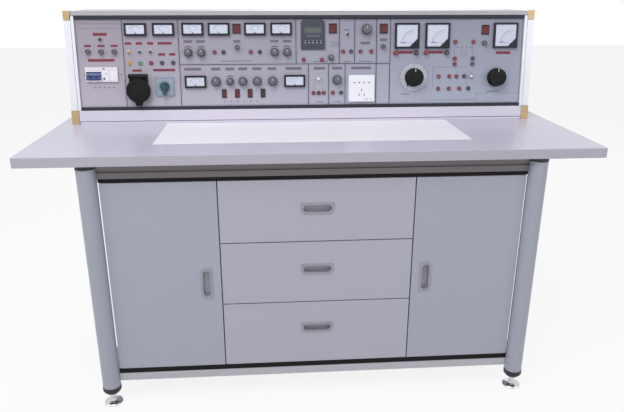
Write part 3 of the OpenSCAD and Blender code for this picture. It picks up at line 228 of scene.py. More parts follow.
# The rails that tie the legs: satin aluminium profiles, grooved along the top ones, screwed
# to the tubes. Near-black strips stand above and below the fronts; their black is painted shade for the
# shadowed recess there.
def solids_of(node):
    """Copies a CAD node, merges its loose triangles into faces and parts it into its solids."""
    bpy.ops.object.select_all(action="DESELECT")
    whole = bpy.data.objects.new(node + "_copy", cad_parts[node].data.copy())
    bpy.context.scene.collection.objects.link(whole)
    whole.data.materials.clear()
    whole.select_set(True)
    bpy.context.view_layer.objects.active = whole
    bpy.ops.object.mode_set(mode="EDIT")
    bpy.ops.mesh.select_all(action="SELECT")
    bpy.ops.mesh.remove_doubles(threshold=0.00001)
    bpy.ops.mesh.dissolve_limited(angle_limit=math.radians(0.5))
    bpy.ops.mesh.separate(type="LOOSE")
    bpy.ops.object.mode_set(mode="OBJECT")
    return list(bpy.context.selected_objects)


def only(piece):
    """Selects one piece and makes it the active one."""
    bpy.ops.object.select_all(action="DESELECT")
    piece.select_set(True)
    bpy.context.view_layer.objects.active = piece
    return piece


def round_edges(piece, width, steps=2, sharp=30):
    """Rounds every edge sharper than the given angle, by a width in millimetres."""
    only(piece)
    bpy.ops.mesh.customdata_custom_splitnormals_clear()
    bpy.ops.object.shade_smooth_by_angle(angle=math.radians(sharp))
    bevel = piece.modifiers.new("rounding", "BEVEL")
    bevel.width = width * mm
    bevel.segments = steps
    bevel.limit_method = "ANGLE"
    bevel.angle_limit = math.radians(sharp)
    bevel.harden_normals = True
    bpy.ops.object.modifier_apply(modifier=bevel.name)
    return piece


def join(pieces):
    """Makes one object of several."""
    bpy.ops.object.select_all(action="DESELECT")
    for piece in pieces:
        piece.select_set(True)
    bpy.context.view_layer.objects.active = pieces[0]
    if len(pieces) > 1:
        bpy.ops.object.join()
    return pieces[0]


def install(pieces, name, material, body="root", stands_for=()):
    """Names a finished piece, paints it and fastens it to the body that carries it."""
    piece = join(pieces)
    piece.name = name
    if material is not None:
        piece.data.materials.clear()
        piece.data.materials.append(material)
    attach(piece, body)
    if stands_for:
        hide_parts(*stands_for)
    return piece


def reach(piece, into=None):
    """The lowest and highest corner of a piece, in millimetres."""
    points = [(into @ v.co if into else v.co) / mm for v in piece.data.vertices]
    return [Vector([pick(p[axis] for p in points) for axis in range(3)]) for pick in (min, max)]


# The top rails get a darker copy of the rail metal: painted shade for the shadow that the tabletop's overhang
# casts on them
top_rail_shaded_metal = finish("top_rail_shaded_metal", tint(113, 107, 110), 0.42, drift=0.12, patches=3,
                        pitch=500, stretch=(0.02, 0.02, 1), metallic=0.55, depth=0.03)
low_rail_metal = finish("low_rail_metal", tint(176, 175, 182), 0.4, pitch=500,
                        stretch=(0.02, 0.02, 1), metallic=0.25, depth=0.03)
# Near-black: on the rails' strips it is painted shade for the shadowed recess, and the seam tapes use it too
dark_strip_and_recess_shade = finish("dark_strip_and_recess_shade", tint(24, 21, 23), 0.6, drift=0.2, patches=12, pitch=1200,
                      Specular_IOR_Level=0.15)
# The strips' front faces lie in one plane, and only the low rails lie under the carcass
strip_front, low_rail_top = -313, 80
top_rails, low_rails, strips = [], [], []
for rail in solids_of("frame_rails"):
    low = reach(rail)[0]
    if abs(low.y - strip_front) < 0.2:
        strips.append(round_edges(rail, 0.5))
    elif low.z < low_rail_top:
        low_rails.append(round_edges(rail, 0.8))
    else:
        top_rails.append(round_edges(rail, 0.6))
install(top_rails, "top_rails", top_rail_shaded_metal, stands_for=["frame_rails"])
install(low_rails, "low_rails", low_rail_metal)
install(strips, "recess_shade_strips", dark_strip_and_recess_shade)


# The cupboard's carcass: 18 mm laminated boards, dowelled and screwed, and a thin back
# pinned into place. It stands on the low rails between the legs.
def install_node(node, name, material, body="root", width=0.5, steps=2):
    """Installs all of a CAD node's solids, with rounded edges, as the piece that stands for it."""
    solids = [round_edges(solid, width, steps) for solid in solids_of(node)]
    return install(solids, name, material, body, [node])


board_grey = finish("board_grey", tint(176, 174, 184), 0.5, drift=0.06, patches=2.5,
                    pitch=600, depth=0.02)
install_node("carcass_panels", "carcass", board_grey, width=0.4)


# The drawers behind the fronts: pale laminated boards, screwed to a pair of zinc-plated
# ball slides, whose outer halves are screwed to the carcass walls.
slide_zinc = finish("slide_zinc", tint(196, 198, 203), 0.3, metallic=0.9, drift=0.25, patches=60, smudge=0.2)
dress("drawer_slides", slide_zinc)
tray_board = finish("tray_board", tint(203, 201, 207), 0.5, patches=3, pitch=600)
for level in ("top", "middle", "bottom"):
    install_node(level + "_drawer_box", level + "_drawer_tray", tray_board,
                 level + "_drawer", 0.4)


# The fronts: two doors on pivot pins and three drawer fronts, 18 mm board with rounded
# bands on its edges. A pressed aluminium pull with two clipped corners is let into each.
def breadth(piece):
    """How wide a piece is from left to right, in millimetres."""
    low, high = reach(piece)
    return high.x - low.x


door_grey = finish("door_grey", tint(161, 162, 175), 0.4, drift=0.05, patches=1.6, smudge=0.12,
                   pitch=650, depth=0.025, coat=0.1)
drawer_grey = finish("drawer_grey", tint(169, 168, 180), 0.4, drift=0.05, patches=1.6, smudge=0.12,
                     pitch=650, depth=0.025, coat=0.1)
pull_metal = finish("pull_metal", tint(150, 149, 158), 0.38, metallic=0.35, drift=0.15, patches=30,
                    pitch=1400)
pin_steel = finish("pin_steel", tint(176, 177, 182), 0.3, metallic=1.0, patches=60)
board_width, pull_width = 200, 20
fronts = {"left_door": "left_door", "right_door": "right_door", "top_drawer_front": "top_drawer",
          "middle_drawer_front": "middle_drawer", "bottom_drawer_front": "bottom_drawer"}
for node, body in fronts.items():
    paint, slot = (door_grey, "door_paint") if node == body else (drawer_grey, "drawer_paint")
    leaf, pull, pins = [], [], []
    for part in solids_of(node):
        if breadth(part) > board_width:
            leaf.append(round_edges(part, 1.2, 3))
        elif breadth(part) > pull_width:
            pull.append(round_edges(part, 0.4))
        else:
            pins.append(round_edges(part, 0.3))
    install(leaf, node + "_board", paint, body, [node])
    install(pull, node + "_pull", pull_metal, body)
    if pins:
        install(pins, node + "_pins", pin_steel, body)


# The tabletop: 28 mm board, a pale speckled laminate above and a plastic band round its
# edges. It is screwed down to the top rails through slots from below.
laminate = finish("laminate", tint(194, 192, 208), 0.34, drift=0.07, patches=1.8, smudge=0.14,
                  pitch=420, depth=0.02, coat=0.12)
edge_band = finish("edge_band", tint(172, 168, 179), 0.45, drift=0.06, patches=3, pitch=700)
top = round_edges(solids_of("tabletop")[0], 1.6, 3)
top.data.materials.append(edge_band)
top.data.materials.append(laminate)
for face in top.data.polygons:
    face.material_index = 1 if face.normal.z > 0.9 else 0
install([top], "tabletop_board", None, stands_for=["tabletop"])


# The work mat: a thin white rubber sheet laid loose on the tabletop, with faint creases
# from being rolled and the dull marks of use.
mat_white = finish("mat_white", tint(238, 237, 243), 0.5, drift=0.05, patches=5, smudge=0.15,
                   pitch=260, depth=0.05)
mat_tree = mat_white.node_tree
coords = wire(mat_tree, "TexCoord").outputs["Object"]
folds = wire(mat_tree, "TexNoise", {"Vector": coords, "Scale": 9.0, "Detail": 2.0, "Distortion": 2.2})
creases = wire(mat_tree, "Bump", {"Height": folds.outputs["Fac"], "Strength": 0.5, "Distance": 2.2 * mm})
mat_tree.links.new(creases.outputs[0], mat_tree.nodes["Bump"].inputs["Normal"])
install_node("work_mat", "work_mat_sheet", mat_white, width=0.35)


# The console's frame: satin aluminium profiles round a narrow black bezel, mitred at the
# corners. The base strip seats it on the tabletop, and the crown closes it above.
console_place, lean = (-0.009, 0.063, 0.780), 6.5
panel = Matrix.Translation(console_place) @ Matrix.Rotation(math.radians(-lean), 4, "X")
upright = panel.inverted()
rail_silver = finish("rail_silver", tint(208, 203, 217), 0.36, drift=0.05, patches=2.5, metallic=0.3,
                     pitch=380, stretch=(0.03, 1, 1), depth=0.02)
# The side rails get a paler copy of the frame's aluminium: painted light
side_silver_lit = finish("side_silver_lit", tint(226, 227, 234), 0.34, drift=0.05, patches=2.5, metallic=0.25,
                     pitch=380, stretch=(1, 1, 0.03), depth=0.02)
# The crown gets a darker copy of the frame's aluminium: painted shade at the top of the console
crown_silver_shaded = finish("crown_silver_shaded", tint(166, 165, 171), 0.36, drift=0.05, patches=2.5, metallic=0.3,
                      pitch=380, stretch=(0.03, 1, 1), depth=0.02)
bezel_black = finish("bezel_black", tint(44, 44, 54), 0.45, drift=0.2, patches=8, pitch=1200,
                     Specular_IOR_Level=0.3)
# A side rail is narrow and deep, the bezel is shallow and above the base, the crown is on top
side_width, side_depth, bezel_depth, base_top, crown_foot = 25, 10, 15, 43, 300
sides, rails, crown, bezel = [], [], [], []
for rail in solids_of("console_frame"):
    low, high = reach(rail, upright)
    if breadth(rail) < side_width and high.y > side_depth:
        sides.append(round_edges(rail, 1.2, 3))
    elif high.y < bezel_depth and low.z > base_top:
        bezel.append(round_edges(rail, 0.6))
    elif low.z > crown_foot:
        crown.append(round_edges(rail, 0.8))
    else:
        rails.append(round_edges(rail, 0.8))
install(rails, "console_low_rails", rail_silver, stands_for=["console_frame"])
install(sides, "console_side_rails", side_silver_lit)
install(crown, "console_crown", crown_silver_shaded)
install(bezel, "console_bezel", bezel_black)


# The corner pieces: brushed brass-coloured aluminium, folded round the frame's corners
# and riveted to the side rails. Faces turned left are painted paler than those turned right: a painted
# highlight.
def ramp(tree, value, start, end):
    """Rises from 0 at the start value to 1 at the end value."""
    return wire(tree, "MapRange", {"Value": value, "From Min": start, "From Max": end}).outputs[0]


def between(tree, share, first, second):
    """A colour between two, by its share of the second."""
    return wire(tree, "Mix", {"Factor": share, 6: first, 7: second}, data_type="RGBA").outputs[2]


gilt = finish("gilt", tint(170, 132, 84), 0.3, drift=0.3, patches=14, smudge=0.25, metallic=0.6,
              pitch=700, stretch=(1, 1, 0.04), depth=0.04)
tree = gilt.node_tree
# Paler towards faces turned left: painted highlight
lit_side_facing = wire(tree, "SeparateXYZ", {0: wire(tree, "TexCoord").outputs["Normal"]}).outputs["X"]
gilt_painted_highlight = between(tree, ramp(tree, lit_side_facing, -0.8, 0.9), tint(222, 200, 158), tint(138, 96, 48))
tree.links.new(gilt_painted_highlight, tree.nodes["Group"].inputs["Colour"])
install_node("console_corners", "gilt_corners", gilt, width=1.4, steps=3)


# The console's shell: folded sheet steel, powder coated, with rows of vent holes punched
# through its back. It is screwed to the frame behind the side rails.
shell_paint = finish("shell_paint", tint(178, 178, 186), 0.45, patches=3, pitch=520, depth=0.05)
install_node("console_shell", "console_cover", shell_paint, width=0.3, steps=1)


# The instrument plates: 3 mm sheet, silk painted, one to a module, set in the frame with
# thin seams between, each closed by a dark tape behind. The colour is pinkish and brighter at the left
# and cooler towards the right, partly a change of tint and partly painted light from the left, and it is
# darker towards the top with painted shade.
def on_panel(across, up, out=0.0, turn=0.0):
    """The place of a fitting on the panel: its centre, its height off the plate and its turn."""
    return (panel @ Matrix.Translation((across * mm, (plate_face - out) * mm, up * mm))
            @ Matrix.Rotation(math.radians(90), 4, "X") @ Matrix.Rotation(math.radians(turn), 4, "Z"))


def draw_out(piece, thick, place):
    """Gives a flat form its thickness and moves it to its place; starts in edit mode."""
    bpy.ops.mesh.select_all(action="SELECT")
    bpy.ops.mesh.extrude_region_move(TRANSFORM_OT_translate={"value": (0, 0, thick * mm)})
    bpy.ops.mesh.select_all(action="SELECT")
    bpy.ops.mesh.normals_make_consistent(inside=False)
    bpy.ops.object.mode_set(mode="OBJECT")
    piece.data.transform(place)
    return piece


def tablet(width, height, thick, corner, place, clip=0.0):
    """A flat plate with rounded corners, its back on the given place; clip cuts one corner."""
    bpy.ops.object.select_all(action="DESELECT")
    bpy.ops.mesh.primitive_plane_add(size=1)
    piece = bpy.context.object
    piece.data.transform(Matrix.Diagonal((width * mm, height * mm, 1, 1)))
    bpy.ops.object.mode_set(mode="EDIT")
    bpy.ops.mesh.select_all(action="SELECT")
    if clip:
        bpy.ops.mesh.select_all(action="DESELECT")
        bpy.ops.object.mode_set(mode="OBJECT")
        for vertex in piece.data.vertices:
            vertex.select = vertex.co.x > 0 and vertex.co.y < 0
        bpy.ops.object.mode_set(mode="EDIT")
        bpy.ops.mesh.bevel(offset=clip * mm, affect="VERTICES", segments=1)
    elif corner:
        bpy.ops.mesh.bevel(offset=corner * mm, affect="VERTICES", segments=4)
    return draw_out(piece, thick, place)


def flat_bars(rows, out=0.0, thick=0.1, rounding=0.0):
    """Flat bars as (u, s, width, height) about their middles, rounded by a share of their width."""
    return [tablet(width, height, thick, min(width, height) * rounding, on_panel(across, up, out))
            for across, up, width, height in rows]


plate_face = 8
plate_paint = finish("plate_paint", tint(172, 165, 177), 0.42, drift=0.05, patches=2.2, smudge=0.1,
                     pitch=800, depth=0.02)
tree = plate_paint.node_tree
# Brighter at the left: partly painted light. Darker towards the top: painted shade
spot = wire(tree, "SeparateXYZ", {0: wire(tree, "TexCoord").outputs["Object"]})
right_share_less_lit = ramp(tree, spot.outputs["X"], -0.74, 0.45)
top_shade_share = ramp(tree, spot.outputs["Z"], 0.84, 1.1)
lower_tone_lit_left = between(tree, right_share_less_lit, tint(180, 171, 183), tint(163, 168, 185))
upper_tone_shaded = between(tree, right_share_less_lit, tint(146, 138, 149), tint(139, 140, 156))
tree.links.new(between(tree, top_shade_share, lower_tone_lit_left, upper_tone_shaded), tree.nodes["Group"].inputs["Colour"])
install_node("instrument_panels", "instrument_plates", plate_paint, width=0.8)
tape_width, tape_out = 6, -3.4
full_seams = [(across, 189.5, tape_width, 270) for across in (-573.5, -400.5, 277.5, 232.5)]
upper_seams = [(across, 255.2, tape_width, 138) for across in (-28.5, 111.5, 161.5)]
lower_seams = [(across, 119.2, tape_width, 129) for across in (10.5, 76.5, 130.5)]
install(flat_bars(full_seams + upper_seams + lower_seams, tape_out, 0.3), "seam_tapes", dark_strip_and_recess_shade)


# The meters: black moulded cases pushed through the plates from in front. Behind each
# clear pane lies a pale dial with a printed arc, and a thin needle on a pivot.
def sweep(radius, width, start, end, thick, place, steps=20):
    """A flat printed arc about a centre, from one angle to another, anticlockwise from +u."""
    bpy.ops.object.select_all(action="DESELECT")
    bpy.ops.mesh.primitive_plane_add(size=1)
    piece = bpy.context.object
    bpy.ops.object.mode_set(mode="EDIT")
    bpy.ops.mesh.delete(type="ONLY_FACE")
    bpy.ops.object.mode_set(mode="OBJECT")
    for vertex in piece.data.vertices:
        vertex.select = vertex.co.y > 0
    bpy.ops.object.mode_set(mode="EDIT")
    bpy.ops.mesh.delete(type="VERT")
    bpy.ops.object.mode_set(mode="OBJECT")
    for vertex, side in zip(piece.data.vertices, (-0.5, 0.5)):
        vertex.co = ((radius + side * width) * mm, 0, 0)
    piece.data.transform(Matrix.Rotation(math.radians(start), 4, "Z"))
    bpy.ops.object.mode_set(mode="EDIT")
    bpy.ops.mesh.select_all(action="SELECT")
    bpy.ops.mesh.spin(steps=steps, angle=math.radians(start - end), center=(0, 0, 0), axis=(0, 0, 1))
    return draw_out(piece, thick, place)


def spoke(across, up, out, turn, start, length, width, thick):
    """A flat bar that points away from a centre and begins at a radius from it."""
    middle = Matrix.Translation(((start + length / 2) * mm, 0, 0))
    return tablet(length, width, thick, 0, on_panel(across, up, out, turn) @ middle)


def scale(across, up, out, turn, step, count, start, long, short, width, thick):
    """Printed ticks round a centre, from an angle on in steps, with each fifth one long."""
    return [spoke(across, up, out, turn + step * tick, start, short if tick % 5 else long, width, thick)
            for tick in range(count)]


def turned(steps, sides=32):
    """A turned solid: a disc drawn out through each radius and height, in millimetres."""
    radius, height = steps[0]
    bpy.ops.object.select_all(action="DESELECT")
    bpy.ops.mesh.primitive_circle_add(vertices=sides, radius=radius * mm, fill_type="NGON")
    piece = bpy.context.object
    piece.data.transform(Matrix.Translation((0, 0, height * mm)))
    bpy.ops.object.mode_set(mode="EDIT")
    bpy.ops.mesh.select_all(action="SELECT")
    for new_radius, new_height in steps[1:]:
        rise = (new_height - height) * mm
        bpy.ops.mesh.extrude_region_move(TRANSFORM_OT_translate={"value": (0, 0, rise)})
        growth = new_radius / radius
        bpy.ops.transform.resize(value=(growth, growth, 1), center_override=(0, 0, new_height * mm))
        radius, height = new_radius, new_height
    bpy.ops.mesh.select_all(action="SELECT")
    bpy.ops.mesh.normals_make_consistent(inside=False)
    bpy.ops.object.mode_set(mode="OBJECT")
    bpy.ops.object.shade_smooth_by_angle(angle=math.radians(40))
    return piece


def copy_at(piece, place):
    """A copy of a modelled piece, moved to its place."""
    made = piece.copy()
    made.data = piece.data.copy()
    made.data.transform(place)
    bpy.context.scene.collection.objects.link(made)
    return made


case_black = finish("case_black", tint(26, 26, 38), 0.3, drift=0.2, patches=20, pitch=1500, coat=0.05,
                    Specular_IOR_Level=0.3)
dial_white = finish("dial_white", tint(204, 207, 222), 0.5, drift=0.04, patches=20, pitch=1500)
print_black = finish("print_black", tint(38, 40, 52), 0.55, drift=0.15, patches=40)
pane = finish("pane", tint(232, 238, 250), 0.05, patches=20, smudge=0.05, pitch=200, depth=0.005,
              Alpha=0.14)
install_node("meter_cases", "meter_cases_black", case_black, width=0.7, steps=3)
dial_out, print_out, needle_out, pane_out = 6.0, 6.2, 6.35, 7.0
dial_thick, print_thick, needle_thick, pane_thick = 0.2, 0.06, 0.12, 0.5
dials, prints, needles, panes, hubs = [], [], [], [], []
hub = turned([(2.6, 0), (2.6, 0.35), (2.2, 0.55)], 20)
small_width, small_height, small_corner, small_drop = 56, 27, 0.6, 11.5
for across, up in ((-532, 293.5), (-445.5, 293.5), (-354.5, 294), (-272.5, 294), (-158.5, 294),
                   (-75.5, 294), (-352.5, 131.5), (-34.5, 131.5)):
    pivot = (across, up - small_drop)
    for made, thick, out in ((dials, dial_thick, dial_out), (panes, pane_thick, pane_out)):
        made.append(tablet(small_width, small_height, thick, small_corner, on_panel(across, up, out)))
    prints.append(sweep(21, 0.7, 42, 138, print_thick, on_panel(*pivot, print_out), 24))
    prints += scale(*pivot, print_out, 42, 9.6, 11, 21.2, 3.4, 2.0, 0.5, print_thick)
    needles.append(spoke(*pivot, needle_out, 133, 1, 19, 0.55, needle_thick))
    hubs.append(copy_at(hub, on_panel(*pivot, print_out)))
big_face, big_clip, big_drop, hub_shift = 68, 19, 27, 18
for across, up in ((331.5, 271.5), (431.5, 271.5), (657.5, 271.5)):
    pivot = (across + big_drop, up - big_drop)
    for made, thick, out in ((dials, dial_thick, dial_out), (panes, pane_thick, pane_out)):
        made.append(tablet(big_face, big_face, thick, 0, on_panel(across, up, out), big_clip))
    for radius, width in ((44, 0.9), (38, 0.5)):
        prints.append(sweep(radius, width, 97, 173, print_thick, on_panel(*pivot, print_out), 28))
    prints += scale(*pivot, print_out, 97, 3.8, 21, 44, 5, 2.8, 0.55, print_thick)
    prints += flat_bars([(across - 12, up - 22, 20, 2.4)], print_out, print_thick)
    needles.append(spoke(*pivot, needle_out, 170, 2, 42, 0.8, needle_thick))
    hubs.append(copy_at(hub, on_panel(across + hub_shift, up - big_drop, print_out)))
bpy.data.objects.remove(hub)
install(dials, "meter_dials", dial_white, stands_for=["meter_windows"])
install(prints, "meter_scales", print_black)
install(needles, "meter_needles", print_black)
install(hubs, "meter_hubs", print_black)
install(panes, "meter_panes", pane)


# The sockets: moulded shells in red, black, green, blue or brass yellow, each with a metal
# sleeve down its bore. The drive's posts have a longer collar under the head.
def glossy(name, colour, roughness=0.3):
    """A moulded plastic with a polished skin."""
    return finish(name, colour, roughness, drift=0.2, patches=60, smudge=0.12, pitch=1800, depth=0.01,
                  coat=0.25)


socket_paints = {
    "red": glossy("socket_red", tint(122, 30, 50)),
    "darkred": glossy("socket_darkred", tint(120, 34, 48)),
    "black": glossy("socket_black", tint(34, 32, 46)),
    "navy": glossy("socket_navy", tint(38, 44, 84)),
    "green": glossy("socket_green", tint(70, 140, 120)),
    "darkgreen": glossy("socket_darkgreen", tint(52, 78, 70)),
    "gold": glossy("socket_gold", tint(190, 152, 84)),
    "white": glossy("lens_white", tint(214, 214, 220)),
}
sleeve_metal = finish("sleeve_metal", tint(188, 180, 160), 0.25, metallic=1.0, drift=0.2, patches=80)
# Near-black, used as painted shade in holes and slots
recess_shade_dark = finish("recess_shade_dark", tint(22, 20, 24), 0.6, drift=0.2, patches=60)
# Each module's left edge on the panel, and the foot of the upper and of the lower row
twin, counter, pulse, timer, fuse, drive = -400.5, -28.5, 111.5, 161.5, 232.5, 277.5
lamps_at, source, supply, mains = 10.5, 76.5, -573.5, -717.5
upper, lower = 185, 53.5
socket_rows = (
    (twin, upper + 38.5, {112: "red", 140: "black", 227: "red", 256: "black"}),
    (counter, upper + 13.5, {24: "red", 83: "red"}),
    (pulse, upper + 38.5, {12: "red", 38: "navy"}),
    (timer, upper + 38.5, {19: "red", 54: "red"}),
    (lamps_at, lower + 39, {16: "red", 33: "black", 50: "red"}),
    (source, lower + 39, {14: "darkred", 41: "black"}),
    (drive, lower + 198.5, {215: "red", 275: "red"}),
    (drive, lower + 145.5, {215: "red", 275: "navy"}),
    (drive, lower + 128, {215: "red", 275: "navy"}),
    (drive, lower + 88.5, {163: "darkred", 199: "red", 223: "red", 249: "black"}),
    (drive, lower + 49, {163: "red", 199: "red", 234: "red", 265: "black"}),
    (supply, lower + 138, {16: "gold", 50: "green", 84: "red", 118: "navy", 153: "black"}),
)
post_rows = ((drive, lower + 165, {18: "red", 85: "black", 118: "red", 186: "black"}),)
shell_form = turned([(6.5, 0), (6.5, 3.6), (6.2, 4.4), (5.6, 4.9), (4.0, 5.0), (2.7, 4.7), (2.3, 3.6),
                     (2.3, 0.8)], 28)
sleeve_form = turned([(2.25, 0.2), (2.25, 3.9), (2.0, 4.1), (1.7, 3.9), (1.7, 0.6)], 20)
post_form = turned([(5.0, 0), (5.0, 3.2), (8.0, 4.0), (8.0, 9.4), (7.4, 10.4), (6.4, 10.9), (4.4, 11.0),
                    (2.8, 10.6), (2.4, 9.4), (2.4, 5.0)], 32)
post_sleeve = turned([(2.35, 4.0), (2.35, 9.8), (2.1, 10.0), (1.8, 9.8), (1.8, 5.0)], 20)
shells, sleeves = {}, []
for rows, head, bore in ((socket_rows, shell_form, sleeve_form), (post_rows, post_form, post_sleeve)):
    for left, level, colours in rows:
        for shift, colour in colours.items():
            place = on_panel(left + shift, level)
            shells.setdefault(colour, []).append(copy_at(head, place))
            sleeves.append(copy_at(bore, place))
    bpy.data.objects.remove(head)
    bpy.data.objects.remove(bore)
for colour, made in shells.items():
    install(made, "sockets_" + colour, socket_paints[colour],
            stands_for=["terminals"] if colour == "red" else ())
install(sleeves, "socket_sleeves", sleeve_metal)


# The rocker switches: black moulded frames clipped into the plates, with red rockers that
# tip on pins. The last of the four signal rockers is black.
frame_black = glossy("frame_black", tint(36, 33, 38))
rocker_paints = {"rocker_red": glossy("rocker_red", tint(94, 20, 30), 0.25),
                 "rocker_black": glossy("rocker_black", tint(36, 36, 48), 0.25)}
install_node("switch_housings", "switch_frames", frame_black)
for group in ("power", "signal"):
    for number in range(1, 5):
        node = "%s_rocker_%d" % (group, number)
        colour = "rocker_black" if node == "signal_rocker_4" else "rocker_red"
        install_node(node, node + "_cap", rocker_paints[colour], node)


# The breaker: a white moulded body clipped behind the plate, with three blue toggles tied
# together, a test button, and thin printed lines and two red flags on its face.
breaker_white = finish("breaker_white", tint(228, 226, 230), 0.42, drift=0.05, patches=25, pitch=1400,
                       coat=0.1)
toggle_blue = glossy("toggle_blue", tint(52, 70, 122), 0.35)
test_blue = glossy("test_blue", tint(70, 84, 140))
label_red = finish("label_red", tint(114, 38, 54), 0.5, drift=0.16, patches=40, pitch=1500)
label_grey = finish("label_grey", tint(104, 97, 112), 0.5, drift=0.16, patches=40, pitch=1500)
install_node("breaker_body", "breaker_case", breaker_white)
install_node("breaker_toggle", "breaker_levers", toggle_blue, "breaker_toggle")
install_node("breaker_test_button", "breaker_test_cap", test_blue, "breaker_test_button",
             0.3)
breaker_u, breaker_s, breaker_out = mains + 72, lower + 103, 6
across_lines = [(breaker_u, breaker_s + shift, 100, 0.5) for shift in (-17.5, 13.5)]
upright_lines = [(breaker_u + shift, breaker_s, 0.6, 44) for shift in (-33, -15.8, 1.5, 24)]
dashes = [(breaker_u + shift, breaker_s + 17.5, 6, 1.2) for shift in (-41, -24, -7, 34)]
install(flat_bars(across_lines + upright_lines + dashes, breaker_out), "breaker_lines", label_grey)
install([tablet(7, 4, 0.1, 0.5, on_panel(breaker_u + 8, breaker_s + 17.5, breaker_out)),
         tablet(4, 2.4, 0.1, 0.4, on_panel(breaker_u + 14, breaker_s + 3, breaker_out))],
        "breaker_flags", label_red)


# The industrial socket: a black moulded flange with a sprung lid on a hinge block above
# and a latch lug below. A raised ring runs round the lid's face.
socket_black = finish("socket_black_skin", tint(15, 14, 14), 0.5, drift=0.25, patches=16, smudge=0.2,
                      pitch=900, depth=0.05, Specular_IOR_Level=0.2)
install_node("industrial_socket", "industrial_flange", socket_black)
lid_out = plate_face - reach(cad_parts["outlet_lid"], upright)[0].y
install_node("outlet_lid", "industrial_lid", socket_black, "outlet_lid", 0.9, 3)
lid_ring = sweep(30, 1.6, 0, 360, 0.5, on_panel(supply + 42, lower + 52, lid_out - 0.1), 48)
install([lid_ring], "industrial_lid_ring", socket_black, "outlet_lid")


# The mains outlet: a white moulded plate screwed to a box behind, with four round and
# three flat contact holes, and small printed marks below them.
outlet_white = finish("outlet_white", tint(232, 231, 238), 0.3, drift=0.04, patches=20, pitch=1400,
                      coat=0.2)
outlet_u, outlet_s, well_out, mark_out = 184.5, lower + 52, 6.6, 8
install_node("mains_outlet", "outlet_plate", outlet_white, width=0.8, steps=3)
# Dark discs just inside the contact holes: painted shade for the shadowed bores
well = turned([(2.25, 0), (2.25, 0.3)], 20)
wells = [copy_at(well, on_panel(outlet_u + shift, outlet_s + 19, well_out)) for shift in (-24, -8, 8, 24)]
bpy.data.objects.remove(well)
for shift, drop, turn in ((0, 5.5, 0), (-8, 20, -30), (8, 20, 30)):
    wells.append(tablet(2.3, 6.9, 0.3, 0, on_panel(outlet_u + shift, outlet_s - drop, well_out, turn)))
install(wells, "outlet_hole_shade", recess_shade_dark)
marks = [(10, 1.4, 4.4), (15, 1.4, 4.4), (20, 1.4, 4.4), (31, 10, 1.2)]
install([tablet(width, height, 0.1, 0.3, on_panel(outlet_u + shift, outlet_s - 34, mark_out))
         for shift, width, height in marks], "outlet_marks", label_grey)


# The frequency counter: a slate-coloured moulded front with clipped top corners, a smoked
# green display pane, five keys and printed lines above them.
slate = finish("slate", tint(54, 57, 68), 0.42, drift=0.1, patches=12, pitch=1000)
smoked = finish("smoked_green", tint(68, 80, 78), 0.16, drift=0.25, patches=26, smudge=0.1, coat=0.5,
                depth=0.005)
key_grey = finish("key_grey", tint(186, 190, 196), 0.4, drift=0.1, patches=60)
digit_glow = finish("digit_glow", tint(120, 138, 128), 0.4, drift=0.1, patches=90)
display_u, display_s = counter + 54.5, upper + 91
pane_s = display_s + 14
install_node("frequency_counter", "counter_front", slate, width=0.6, steps=3)
install(flat_bars([(display_u, pane_s, 55.4, 21.4)], 3.1, 0.5), "counter_pane", smoked)
digits = []
for number in range(8):
    middle = display_u - 23 + 6.6 * number
    digits += [(middle, pane_s + shift, 3.0, 0.5) for shift in (3.2, 0, -3.2)]
    digits += [(middle + side, pane_s + shift, 0.5, 2.5) for side in (-1.7, 1.7) for shift in (1.6, -1.6)]
install(flat_bars(digits, 3.6, 0.05), "counter_digits", digit_glow)
key = turned([(1.9, 2.6), (1.9, 3.9), (1.5, 4.2)], 20)
key_columns = [display_u + 12.5 * step for step in range(-2, 3)]
keys = [copy_at(key, on_panel(across, display_s - 25)) for across in key_columns]
bpy.data.objects.remove(key)
install(keys, "counter_keys", key_grey)
key_lines = [(display_u, display_s - 4, 44, 0.8)]
key_lines += [(across, display_s - 18.5, 5, 0.9) for across in key_columns]
install(flat_bars(key_lines, 4, 0.08), "counter_lines", key_grey)


# The controls behind the knobs: zinc-plated bushes and nuts through the plates, the mode
# switch's pale plate with its border and ring, and the transformer's scale plate.
nut_zinc = finish("nut_zinc", tint(150, 150, 156), 0.3, metallic=0.8, drift=0.2, patches=60)
scale_pale = finish("scale_pale", tint(186, 188, 198), 0.4, drift=0.05, patches=16, pitch=1300)
mode_pale = finish("mode_pale", tint(150, 160, 174), 0.4, drift=0.05, patches=20, pitch=1300)
mode_ink = finish("mode_ink", tint(84, 108, 128), 0.5, patches=40)
teal = glossy("teal", tint(26, 66, 84), 0.3)
scale_plate_width, mode_plate_width = 80, 50
nuts, scale_plate, mode_plate = [], [], []
for body in solids_of("control_bodies"):
    if breadth(body) > scale_plate_width:
        scale_plate.append(round_edges(body, 0.3))
    elif breadth(body) > mode_plate_width:
        mode_plate.append(round_edges(body, 0.3))
    else:
        nuts.append(round_edges(body, 0.3))
install(nuts, "control_nuts", nut_zinc, stands_for=["control_bodies"])
install(scale_plate, "transformer_scale", scale_pale)
install(mode_plate, "mode_plate", mode_pale)
mode_u, mode_s, mode_out, half_border = supply + 123, lower + 64, 5, 26.5
border = [(mode_u, mode_s + side * half_border, 54, 1.6) for side in (-1, 1)]
border += [(mode_u + side * half_border, mode_s, 1.6, 54) for side in (-1, 1)]
mode_ring = sweep(18.5, 1.2, 0, 360, 0.1, on_panel(mode_u, mode_s, mode_out), 40)
install(flat_bars(border, mode_out) + [mode_ring], "mode_border", mode_ink)
install_node("mode_switch_handle", "mode_handle", teal, "mode_switch_handle", 0.6, 3)


